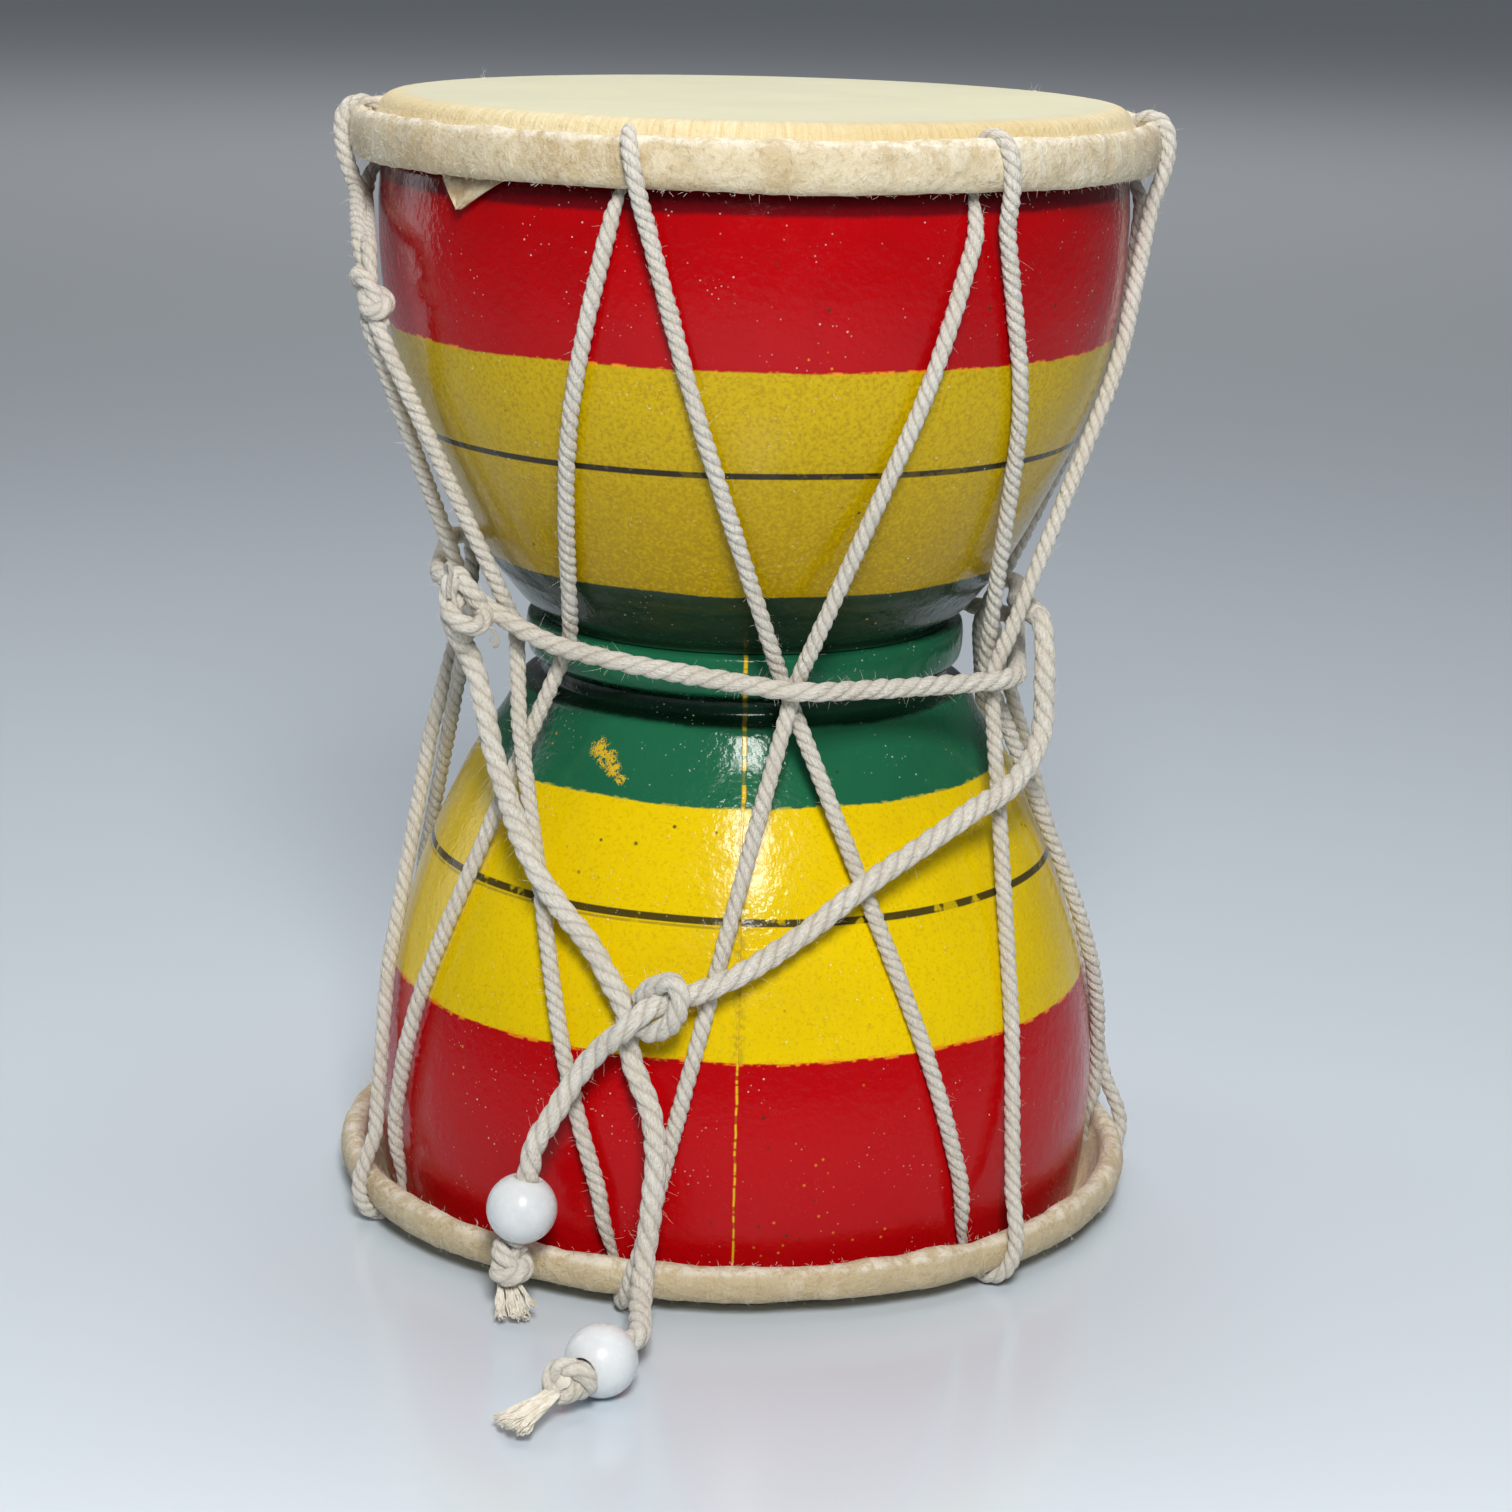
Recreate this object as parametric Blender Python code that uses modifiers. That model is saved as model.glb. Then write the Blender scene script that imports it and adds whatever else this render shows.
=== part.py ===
"""Damaru: a two-headed hourglass hand drum with rope lacing and two cord strikers.

Frame: metres, +Z up along the drum's axis. The origin is the centre of the bottom head's
outer face, -Y is the front. Lengths below are in millimetres and are scaled once, by MM.
"""
import math

import bmesh
import bpy
import numpy as np

MM = 0.001

# ---- driving dimensions (mm) ----
HEIGHT = 203.0            # between the outer faces of the two heads
SKIN = 0.7                # skin thickness
SHELL_BOTTOM, SHELL_TOP = 1.0, 202.0
TOP_HOOP = dict(r=70.15, z=196.2, a=2.25, b=4.45, ca=1.05, cb=3.2, ha=0.5, hb=2.5)
BOTTOM_HOOP = dict(r=72.4, z=6.1, a=2.6, b=3.4, ca=1.15, cb=2.1, ha=0.5, hb=1.4)
LACE_R = 1.55             # lacing rope
TIE_R = 2.0               # waist cord and tails
GAP = 0.35
BEAD_R, BORE_R = 6.1, 2.4
STEPS = 40

# Where the rope goes round each hoop: azimuth (degrees, 0 = front, + towards +X) and half the
# distance (mm) between the rope coming in behind the hoop and going out over its outside.
# A negative half is a loop tied the other way round.
TOP_TURNS = [(-82.0, 1.7), (-16.8, 3.6), (33.5, 2.6), (86.8, -2.6), (131.0, 2.6), (178.0, 2.4), (228.0, 2.2)]
BOTTOM_TURNS = [(-63.2, -1.4), (-15.1, 5.0), (39.1, 5.0), (95.5, 3.0), (139.0, 2.6), (190.5, 2.4), (236.7, 1.7)]

# turned outside of the shell, (z, radius)
OUTER = [(1.0, 63.0), (1.6, 65.6), (3.0, 66.4), (6.0, 66.8), (14.0, 67.5), (24.0, 67.8), (34.0, 67.0),
         (44.0, 65.2), (54.0, 62.3), (65.0, 58.4), (75.0, 54.0), (80.0, 51.6), (84.2, 49.2), (88.3, 46.4),
         (91.5, 44.3), (94.5, 42.8), (96.4, 41.8), (97.2, 40.8), (97.8, 38.8), (98.6, 37.6), (100.8, 37.4),
         (101.6, 38.6), (102.4, 39.9), (104.0, 40.4), (107.0, 40.5), (108.8, 40.3), (109.3, 39.8),
         (109.6, 38.0), (110.6, 38.4), (112.4, 41.0), (114.5, 42.9), (116.5, 44.5), (118.2, 45.9),
         (120.0, 47.2), (124.0, 49.8), (134.0, 55.0), (145.0, 60.2), (154.0, 63.6), (163.0, 65.7),
         (173.0, 67.0), (184.0, 67.4), (188.0, 66.9), (191.0, 65.9), (199.0, 65.6), (200.9, 64.9),
         (202.0, 62.5)]
INNER = [(202.0, 56.0), (190.0, 60.4), (173.0, 61.0), (154.0, 57.4), (134.0, 48.8), (120.0, 39.5),
         (110.0, 30.0), (102.5, 28.0), (95.0, 31.5), (84.0, 42.5), (65.0, 52.0), (44.0, 59.2),
         (24.0, 61.8), (10.0, 60.8), (1.0, 57.0)]
JOINT_LOW, JOINT_HIGH = 109.3, 109.6      # the two bowls meet at the ridge's top edge


# ---------------------------------------------------------------- helpers
def collection(name):
    made = bpy.data.collections.new(name)
    bpy.context.scene.collection.children.link(made)
    return made


def material(name, colour, roughness, metallic=0.0):
    mat = bpy.data.materials.new(name)
    mat.use_nodes = True
    bsdf = mat.node_tree.nodes["Principled BSDF"]
    bsdf.inputs["Base Color"].default_value = (*colour, 1.0)
    bsdf.inputs["Roughness"].default_value = roughness
    bsdf.inputs["Metallic"].default_value = metallic
    mat.diffuse_color = (*colour, 1.0)
    return mat


def put(name, mesh, where, mat):
    obj = bpy.data.objects.new(name, mesh)
    where.objects.link(obj)
    if mat:
        obj.data.materials.append(mat)
    return obj


def evaluated_mesh(obj):
    bpy.context.view_layer.update()
    graph = bpy.context.evaluated_depsgraph_get()
    return bpy.data.meshes.new_from_object(obj.evaluated_get(graph))


def turned(name, profile, where, mat, steps=STEPS, closed=False):
    """A (radius, z) profile in mm, listed down its outer side, turned about Z."""
    mesh = bpy.data.meshes.new(name)
    bm = bmesh.new()
    verts = [bm.verts.new((r * MM, 0.0, z * MM)) for r, z in profile]
    for a, b in zip(verts, verts[1:]):
        bm.edges.new((a, b))
    if closed:
        bm.edges.new((verts[-1], verts[0]))
    bm.to_mesh(mesh)
    bm.free()
    obj = put(name, mesh, where, mat)
    screw = obj.modifiers.new("Turn", "SCREW")
    screw.steps = screw.render_steps = steps
    screw.use_merge_vertices = True
    screw.merge_threshold = 0.00001
    screw.use_smooth_shade = True
    return obj


def tube(name, points, radius, where, mat, scale=None, sides=2, cyclic=False):
    """A round cord through points (mm)."""
    curve = bpy.data.curves.new(name, "CURVE")
    curve.dimensions = "3D"
    curve.bevel_depth = radius * MM
    curve.bevel_resolution = sides
    curve.use_fill_caps = True
    spline = curve.splines.new("POLY")
    spline.points.add(len(points) - 1)
    for i, p in enumerate(points):
        spline.points[i].co = (p[0] * MM, p[1] * MM, p[2] * MM, 1.0)
        spline.points[i].radius = 1.0 if scale is None else scale[i]
    spline.use_cyclic_u = cyclic
    obj = bpy.data.objects.new(name, curve)
    where.objects.link(obj)
    if mat:
        curve.materials.append(mat)
    return obj


def tube_mesh(points, radius, scale=None, sides=2):
    """The same cord as a welded mesh, for joining or cutting."""
    obj = tube("guide", points, radius, guides, None, scale, sides)
    mesh = evaluated_mesh(obj)
    bpy.data.objects.remove(obj)
    bm = bmesh.new()
    bm.from_mesh(mesh)
    bmesh.ops.remove_doubles(bm, verts=bm.verts, dist=1e-6)
    bmesh.ops.recalc_face_normals(bm, faces=bm.faces)
    return bm


def polar(az, r, z):
    a = math.radians(az)
    return np.array([r * math.sin(a), -r * math.cos(a), z])


def smooth_path(points, count):
    """Evenly spaced points of a centripetal Catmull-Rom curve through the given ones."""
    p = np.array(points, float)
    p = np.vstack([2 * p[0] - p[1], p, 2 * p[-1] - p[-2]])
    out = []
    for i in range(1, len(p) - 2):
        t = [0.0]
        for a, b in zip(p[i - 1:i + 2], p[i:i + 3]):
            t.append(t[-1] + max(np.linalg.norm(b - a), 1e-6) ** 0.5)
        for u in np.linspace(t[1], t[2], 24, endpoint=False):
            a1 = (t[1] - u) / (t[1] - t[0]) * p[i - 1] + (u - t[0]) / (t[1] - t[0]) * p[i]
            a2 = (t[2] - u) / (t[2] - t[1]) * p[i] + (u - t[1]) / (t[2] - t[1]) * p[i + 1]
            a3 = (t[3] - u) / (t[3] - t[2]) * p[i + 1] + (u - t[2]) / (t[3] - t[2]) * p[i + 2]
            b1 = (t[2] - u) / (t[2] - t[0]) * a1 + (u - t[0]) / (t[2] - t[0]) * a2
            b2 = (t[3] - u) / (t[3] - t[1]) * a2 + (u - t[1]) / (t[3] - t[1]) * a3
            out.append((t[2] - u) / (t[2] - t[1]) * b1 + (u - t[1]) / (t[2] - t[1]) * b2)
    out.append(p[-2])
    out = np.array(out)
    along = np.r_[0, np.cumsum(np.linalg.norm(np.diff(out, axis=0), axis=1))]
    even = np.linspace(0, along[-1], count)
    return np.stack([np.interp(even, along, out[:, k]) for k in range(3)], 1)


# the shell's outside, offset outwards by a cord's radius: what a cord's middle may not pass
OUT_Z = np.array([z for z, r in OUTER])
OUT_R = np.array([r for z, r in OUTER])
FINE_Z = np.linspace(OUT_Z[0], OUT_Z[-1], 500)
FINE_R = np.interp(FINE_Z, OUT_Z, OUT_R)


def clear_radius(z, off):
    near = np.abs(FINE_Z - z) < off
    if not near.any():
        return 0.0
    return float((FINE_R[near] + np.sqrt(off * off - (FINE_Z[near] - z) ** 2)).max())


def distance_to(path, points):
    """From each point to the nearest place on the path."""
    run = path[1:] - path[:-1]
    size = np.maximum((run * run).sum(1), 1e-9)
    gap = points[:, None] - path[None, :-1]
    t = np.clip((gap * run[None]).sum(2) / size[None], 0, 1)
    return np.linalg.norm(gap - t[..., None] * run[None], axis=2).min(1)


TABLE_Z = np.linspace(0, HEIGHT, 1200)
TABLE_R = {}


def taut(start, end, off, over=None, count=25, rounds=500):
    """A cord pulled tight from start to end over the outside of the shell, and over another cord."""
    if off not in TABLE_R:
        TABLE_R[off] = np.array([clear_radius(z, off) for z in TABLE_Z])
    p = np.linspace(start, end, count)
    for _ in range(rounds):
        p[1:-1] = 0.5 * (p[:-2] + p[2:])
        r = np.hypot(p[1:-1, 0], p[1:-1, 1])
        grow = np.maximum(1.0, np.interp(p[1:-1, 2], TABLE_Z, TABLE_R[off]) / r)
        if over is not None:
            short = np.maximum(0.0, 2 * LACE_R + 0.45 - distance_to(over, p[1:-1]))
            grow = np.maximum(grow, 1.0 + short / r)
        p[1:-1, :2] *= grow[:, None]
    return p


def thinned(points, tolerance):
    """Drops points that lie within the tolerance of the straight line past them."""
    if len(points) < 3:
        return list(range(len(points)))
    a, b = points[0], points[-1]
    line = (b - a) / max(np.linalg.norm(b - a), 1e-9)
    away = [np.linalg.norm((q - a) - np.dot(q - a, line) * line) for q in points]
    worst = int(np.argmax(away))
    if away[worst] < tolerance:
        return [0, len(points) - 1]
    left = thinned(points[:worst + 1], tolerance)
    right = thinned(points[worst:], tolerance)
    return left + [worst + i for i in right[1:]]


# ---------------------------------------------------------------- clear the scene
for old in list(bpy.data.objects):
    bpy.data.objects.remove(old, do_unlink=True)
drum = collection("damaru")
guides = collection("cutters")
guides.hide_render = True

PAINT = material("shell_paint", (0.62, 0.02, 0.02), 0.22)
HIDE = material("skin", (0.80, 0.74, 0.58), 0.65)
CANE = material("cane", (0.62, 0.48, 0.28), 0.7)
ROPE = material("cotton_rope", (0.86, 0.82, 0.74), 0.9)
BEAD = material("white_bead", (0.93, 0.94, 0.94), 0.15)

# ---------------------------------------------------------------- shell
def inner_radius(z):
    rows = sorted(INNER)
    return float(np.interp(z, [q[0] for q in rows], [q[1] for q in rows]))


upper = ([(r, z) for z, r in reversed(OUTER) if z >= JOINT_HIGH]
         + [(inner_radius(JOINT_HIGH), JOINT_HIGH)] + [(r, z) for z, r in reversed(INNER) if z > JOINT_HIGH])
lower = ([(r, z) for z, r in reversed(OUTER) if z <= JOINT_LOW]
         + [(r, z) for z, r in reversed(INNER) if z < JOINT_LOW] + [(inner_radius(JOINT_LOW), JOINT_LOW)])
turned("shell_upper", upper, drum, PAINT, steps=44, closed=True)
turned("shell_lower", lower, drum, PAINT, steps=44, closed=True)


# ---------------------------------------------------------------- heads and hoops
def oval(hoop, degrees, a, b):
    t = math.radians(degrees)
    return (hoop["r"] + hoop[a] * math.cos(t), hoop["z"] + hoop[b] * math.sin(t))


def hoop_strip(name, hoop):
    ring = [oval(hoop, d, "ha", "hb") for d in (90, 50, 15, -15, -50, -90, -130, -165, 165, 130)]
    turned(name, ring, drum, CANE, closed=True)


def loop_cutter(name, paths):
    """The rope's channel through the skin at each lacing point."""
    joined = bmesh.new()
    for points, scale in paths:
        fat = [(s * LACE_R + 0.3) / (LACE_R + 0.3) for s in scale]
        piece = tube_mesh(points, LACE_R + 0.3, fat, 2)
        mesh = bpy.data.meshes.new("channel")
        piece.to_mesh(mesh)
        piece.free()
        joined.from_mesh(mesh)
        bpy.data.meshes.remove(mesh)
    mesh = bpy.data.meshes.new(name)
    joined.to_mesh(mesh)
    joined.free()
    cutter = put(name, mesh, guides, None)
    cutter.hide_render = True
    cutter.display_type = "WIRE"
    return cutter


# round the top hoop: up behind it, over its top, down its outer face; (radius, z, rope scale)
TOP_LOOP = [(69.45, 184.5, 1.0), (68.9, 187.6, 0.9), (67.5, 190.2, 0.68), (66.85, 192.6, 0.5),
            (66.85, 198.6, 0.5), (67.3, 200.9, 0.65), (68.9, 202.1, 0.9), (70.9, 202.0, 1.0),
            (72.6, 200.8, 1.0), (73.4, 198.6, 1.0), (73.5, 195.8, 1.0), (73.1, 192.6, 1.0),
            (72.2, 189.6, 1.0), (71.0, 186.4, 1.0)]
# round the bottom hoop: down behind it, under it, up its outer face
BOTTOM_LOOP = [(69.75, 20.0, 1.0), (69.6, 15.0, 0.95), (68.7, 11.0, 0.78), (68.25, 8.4, 0.62),
               (68.25, 4.4, 0.62), (69.0, 2.6, 0.75), (70.6, 1.95, 0.95), (72.6, 1.78, 1.0),
               (74.4, 2.4, 1.0), (75.7, 4.1, 1.0), (76.1, 6.4, 1.0), (75.7, 9.2, 1.0),
               (74.4, 12.4, 1.0), (72.6, 16.4, 1.0)]


def loop_points(loop, az, half=1.7):
    """The loop at this azimuth, its two ends half a rope to either side."""
    a = math.radians(az)
    out = np.array([math.sin(a), -math.cos(a), 0.0])
    side = np.array([math.cos(a), math.sin(a), 0.0])
    n = len(loop) - 1
    return [out * r + side * half * (2 * i / n - 1) + np.array([0, 0, z]) for i, (r, z, _) in enumerate(loop)]


SCALES_T = [s for _, _, s in TOP_LOOP]
SCALES_B = [s for _, _, s in BOTTOM_LOOP]
top_loops = [loop_points(TOP_LOOP, az, half) for az, half in TOP_TURNS]
bottom_loops = [loop_points(BOTTOM_LOOP, az, half) for az, half in BOTTOM_TURNS]

top_roll = [oval(TOP_HOOP, d, "a", "b") for d in (130, 105, 80, 50, 20, -15, -50, -80, -110, -145)]
top_gap = [oval(TOP_HOOP, d, "ca", "cb") for d in (-145, -100, -50, 0, 50, 100, 150, 196)]
top_back = [oval(TOP_HOOP, d, "a", "b") for d in (198, 178)]
top_profile = ([(0, HEIGHT), (40, HEIGHT), (62.5, HEIGHT), (65.2, 202.75), (66.5, 201.9), (66.95, 200.9)]
               + top_roll + top_gap + top_back
               + [(66.6, 199.3), (66.2, 200.6), (65.3, 201.9), (62.5, HEIGHT - SKIN), (40, HEIGHT - SKIN), (0, HEIGHT - SKIN)])
top_skin = turned("top_head_skin", top_profile, drum, HIDE)

low_roll = [oval(BOTTOM_HOOP, d, "a", "b") for d in (145, 110, 80, 50, 15, -15, -50, -80, -110, -135)]
low_gap = [oval(BOTTOM_HOOP, d, "ca", "cb") for d in (145, 100, 50, 0, -50, -100, -150, -196)]
low_back = [oval(BOTTOM_HOOP, d, "a", "b") for d in (-198, -178)]
low_profile = ([(0, SKIN), (40, SKIN), (63.5, SKIN), (66.3, 1.25), (67.35, 2.5), (67.9, 3.9), (69.9, 5.6)]
               + low_back[::-1] + low_gap[::-1] + low_roll
               + [(68.6, 2.5), (67.2, 0.9), (65.6, 0.25), (63.5, 0.0), (40, 0.0), (0, 0.0)])
low_skin = turned("bottom_head_skin", low_profile, drum, HIDE)

for skin, loops, scales, name in ((top_skin, top_loops, SCALES_T, "top_channels"),
                                  (low_skin, bottom_loops, SCALES_B, "bottom_channels")):
    cutter = loop_cutter(name, [(p, scales) for p in loops])
    cut = skin.modifiers.new("Rope channels", "BOOLEAN")
    cut.operation = "DIFFERENCE"
    cut.solver = "EXACT"
    cut.object = cutter

hoop_strip("top_hoop", TOP_HOOP)
hoop_strip("bottom_hoop", BOTTOM_HOOP)

# ---------------------------------------------------------------- lacing
BAND_Z = 107.5            # height of the waist cord at the front
# azimuth and radius at which the waist cord holds the strands that the front shows, by (top, bottom) turn
WAIST = {(1, 2): (8.1, 47.2), (1, 0): (-42.2, 45.2), (0, 1): (-55.5, 48.9), (2, 1): (10.0, 50.9),
         (2, 3): (64.4, 47.9), (3, 2): (58.7, 51.5), (6, 0): (-105.0, 53.3), (0, 6): (-74.0, 51.3)}
# the strands that cross over their partners
OVER = [(0, 1), (2, 1), (3, 2), (4, 3), (5, 4), (6, 5), (6, 0)]


def band_height(az):
    """The waist cord lies higher on the left than on the right."""
    return BAND_Z + 0.6 - 4.2 * math.sin(math.radians(az + 8))


def strand(key, top, bottom, over=None):
    """One strand from its top turn to its bottom turn, held in at the waist."""
    if key in WAIST:
        az, r = WAIST[key]
    else:
        t = (BAND_Z - bottom[2]) / (top[2] - bottom[2])
        mid = bottom + t * (top - bottom)
        az, r = math.degrees(math.atan2(mid[0], -mid[1])), 51.7 if key in OVER else 47.9
    hold = polar(az, r, band_height(az))
    off = LACE_R + GAP
    above = taut(top, hold, off, over)
    below = taut(hold, bottom, off, over)
    path = np.vstack([above, below[1:]])
    at = len(above) - 1
    path[at] = (path[at - 1] + 6 * path[at] + path[at + 1]) / 8
    return path


KNOT = np.array([-65.1, -32.8, 170.0])      # the lacing knot's middle
KNOT_TOP = KNOT + np.array([-1.6, 3.6, 7.6])
KNOT_LOW = KNOT + np.array([1.2, -0.4, -7.6])

# The rope's order: from the knot down to bottom turn 1, up to top turn 2, and so on, two turns
# at a time, back to the knot. Each turn is passed from the side it is tied from.
order, ends_of = [], {}
LEAVES = {"down": KNOT_LOW + np.array([1.0, -1.5, 0.0]), "up": KNOT_LOW + np.array([-1.2, 1.5, 0.3])}


def passed(loop, scales, half):
    """A turn's points in the order that the rope runs through them."""
    return (loop, scales) if half > 0 else (loop[::-1], scales[::-1])


top_pass = [passed(p, SCALES_T, h) for p, (_, h) in zip(top_loops, TOP_TURNS)]
bottom_pass = [passed(p, SCALES_B, h) for p, (_, h) in zip(bottom_loops, BOTTOM_TURNS)]
for n in range(0, 14, 2):
    i, j, k = n % 7, (n + 1) % 7, (n + 2) % 7
    order += [(i, j), (k, j)]
    ends_of[(i, j)] = (LEAVES["down"] if i == 0 else top_pass[i][0][-1], bottom_pass[j][0][0])
    ends_of[(k, j)] = (LEAVES["up"] if k == 0 else top_pass[k][0][0], bottom_pass[j][0][-1])
strands = {}
for key in order:
    if key not in OVER:
        strands[key] = strand(key, *[np.array(q, float) for q in ends_of[key]])
for key in OVER:
    strands[key] = strand(key, *[np.array(q, float) for q in ends_of[key]], over=strands[(key[1], key[0])])

points, scales = [], []


def add(path, scale):
    for p, s in zip(path, scale):
        if points and np.linalg.norm(points[-1] - p) < 0.8:
            continue
        points.append(np.array(p, float))
        scales.append(s)


for n, (i, j) in enumerate(order):
    path = strands[(i, j)]
    path = path[thinned(path, 0.12)]
    if n % 2 == 0:
        add(path, [1.0] * len(path))
        add(*bottom_pass[j])
    else:
        add(path[::-1], [1.0] * len(path))
        if i != 0:
            add(*top_pass[i])
tube("lacing_cord", points, LACE_R, drum, ROPE, scales, sides=1)

end_loop = ([KNOT_TOP + np.array([0.9, -1.4, 0.0])] + top_loops[0]
            + [KNOT_TOP + np.array([-1.0, 1.5, 0.6])])
tube("lacing_end_loop", end_loop, LACE_R, drum, ROPE, [1.0] + SCALES_T + [1.0], sides=1)


def lump(name, centre, size, where, mat, direction=None, u=14, v=9):
    """A knot as one closed lump, its long side along the direction."""
    bm = bmesh.new()
    bmesh.ops.create_uvsphere(bm, u_segments=u, v_segments=v, radius=MM)
    bmesh.ops.scale(bm, vec=size, verts=bm.verts)
    mesh = bpy.data.meshes.new(name)
    bm.to_mesh(mesh)
    bm.free()
    mesh.shade_smooth()
    obj = put(name, mesh, where, mat)
    obj.location = [c * MM for c in centre]
    if direction is not None:
        from mathutils import Vector
        obj.rotation_mode = "QUATERNION"
        obj.rotation_quaternion = Vector(direction).to_track_quat("Z", "Y")
    return obj


lump("lacing_knot", KNOT, (3.5, 3.1, 6.2), drum, ROPE, KNOT_TOP - KNOT_LOW)

# ---------------------------------------------------------------- waist cord
lace = np.array(points)
LACE_FROM, LACE_TO = lace[:-1], lace[1:]


def clear_of_lacing(p):
    """Distance from the point to the lacing cord's middle line."""
    run = LACE_TO - LACE_FROM
    t = ((p - LACE_FROM) * run).sum(1) / np.maximum((run * run).sum(1), 1e-9)
    near = LACE_FROM + np.clip(t, 0, 1)[:, None] * run
    return float(np.linalg.norm(near - p, axis=1).min())


def band_radius_at(az, z):
    """The smallest radius that clears every strand of the lacing."""
    r = 66.0
    while clear_of_lacing(polar(az, r - 0.15, z)) > LACE_R + TIE_R + 0.5 and r > 50.5:
        r -= 0.15
    return r


def pulled_round(rows):
    """The cord through rows of (azimuth, height), pulled tight round the lacing."""
    least = [max(band_radius_at(az + d, z) for d in (-2.5, 0.0, 2.5)) + 0.1 for az, z in rows]
    r = list(least)
    for _ in range(60):
        for q in range(1, len(rows) - 1):
            a, b = math.radians(rows[q][0] - rows[q - 1][0]), math.radians(rows[q + 1][0] - rows[q][0])
            chord = r[q - 1] * r[q + 1] * math.sin(a + b) / (r[q - 1] * math.sin(a) + r[q + 1] * math.sin(b))
            r[q] = max(least[q], chord)
    return [polar(az, s, z) for (az, z), s in zip(rows, r)]


HINGE_RIGHT = np.array([51.0, -19.6, 113.8])
HINGE_LEFT = np.array([-49.2, -31.4, 108.4])
LEFT_KNOT = np.array([-49.5, -34.0, 117.3])


def second_turn(az):
    """How far above the first turn the cord lies: high behind, down to it across the left."""
    w = min(1.0, max(0.0, (az - 290) / 32.0))
    return 6.3 * (1 - w * w * (3 - 2 * w))


# The cord comes from the right striker, goes round the back above the first turn, down across
# the left and the front, and round the back again to the knot.
rows = [(az, band_height(az) + 6.3 + 3.6 * max(0.0, (112 - az) / 32.0)) for az in np.arange(82, 246, 6.0)]
rows += [(az, band_height(az) + second_turn(az)) for az in np.arange(250, 360 + 250, 5.0)]
turn = pulled_round(rows)
tie_path = [HINGE_RIGHT + np.array([0.4, 2.5, 0.0]), HINGE_RIGHT + np.array([1.0, 4.6, 0.0])] + turn
keep = thinned(np.array(tie_path), 0.05)
tube("waist_cord", [tie_path[k] for k in keep], TIE_R, drum, ROPE)

# ---------------------------------------------------------------- tails
def route(rows, count, tol=0.06):
    path = smooth_path(rows, count)
    return path[thinned(path, tol)]


def unit(x, y, z):
    v = np.array([x, y, z], float)
    return v / np.linalg.norm(v)


BEAD1, BEAD1_DIR = np.array([-36.0, -70.4, 18.5]), unit(-0.18, -0.08, -0.98)
BEAD2, BEAD2_DIR = np.array([-20.7, -104.6, 6.2]), unit(-0.50, -0.866, 0.0)
SLIDE = 5.0               # how far each bead can slide up its cord

# The tails hang down the bowl and touch it, from their ends at the waist to where they leave it.
TAIL_LEFT = [HINGE_LEFT, np.array([-47.2, -31.6, 103.6]), np.array([-45.5, -33.6, 97.6]),
             np.array([-43.7, -35.9, 90.2]), np.array([-41.6, -40.0, 85.3]), np.array([-37.6, -49.0, 77.7]),
             np.array([-33.9, -52.3, 71.6]), np.array([-29.7, -55.3, 66.7]), np.array([-25.3, -58.3, 62.3]),
             np.array([-21.7, -61.3, 57.0]), np.array([-19.0, -63.2, 52.3]), np.array([-17.8, -65.8, 44.8]),
             np.array([-14.3, -69.9, 36.7]), np.array([-13.1, -72.6, 30.4]), np.array([-13.6, -74.9, 21.1]),
             np.array([-14.4, -76.7, 13.9]), np.array([-14.9, -79.8, 8.6]), np.array([-15.0, -85.5, 6.6])]
left_end = [BEAD2 - BEAD2_DIR * 11.5, BEAD2 - BEAD2_DIR * 6.0, BEAD2, BEAD2 + BEAD2_DIR * 5.6]
tube("tail_left", route(TAIL_LEFT + left_end, 64), TIE_R, drum, ROPE)

TAIL_KNOT = np.array([-12.4, -68.4, 55.4])
TAIL_RIGHT_UPPER = [HINGE_RIGHT, HINGE_RIGHT + np.array([1.6, 0.2, 0.1]), np.array([53.4, -23.0, 111.2]),
                    np.array([53.7, -24.8, 107.0]), np.array([53.8, -25.2, 101.5]), np.array([53.8, -25.6, 95.2]),
                    np.array([52.2, -29.0, 90.7]), np.array([47.4, -36.6, 86.3]), np.array([40.8, -43.0, 83.7]),
                    np.array([36.7, -46.2, 81.5]), np.array([29.5, -52.2, 78.0]), np.array([22.5, -57.3, 74.4]),
                    np.array([10.7, -61.9, 65.8]), np.array([0.6, -65.4, 59.8]), TAIL_KNOT + np.array([6.6, 0.0, 2.9])]
tube("tail_right_upper", route(TAIL_RIGHT_UPPER, 44), TIE_R, drum, ROPE)
lump("tail_knot", TAIL_KNOT, (5.2, 4.0, 6.2), drum, ROPE, (0.25, 0.0, 0.97))

TAIL_RIGHT_LOWER = [TAIL_KNOT + np.array([-6.2, -2.6, -4.8]), np.array([-23.0, -68.0, 46.9]),
                    np.array([-27.2, -67.8, 41.2]), np.array([-30.9, -68.8, 34.9]),
                    BEAD1 - BEAD1_DIR * 11.5, BEAD1 - BEAD1_DIR * 6.0, BEAD1, BEAD1 + BEAD1_DIR * 5.6]
tube("tail_right_lower", route(TAIL_RIGHT_LOWER, 30), TIE_R, drum, ROPE)

lump("waist_knot", LEFT_KNOT, (3.4, 3.1, 5.8), drum, ROPE, (0.12, 0.0, 0.99))


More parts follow.
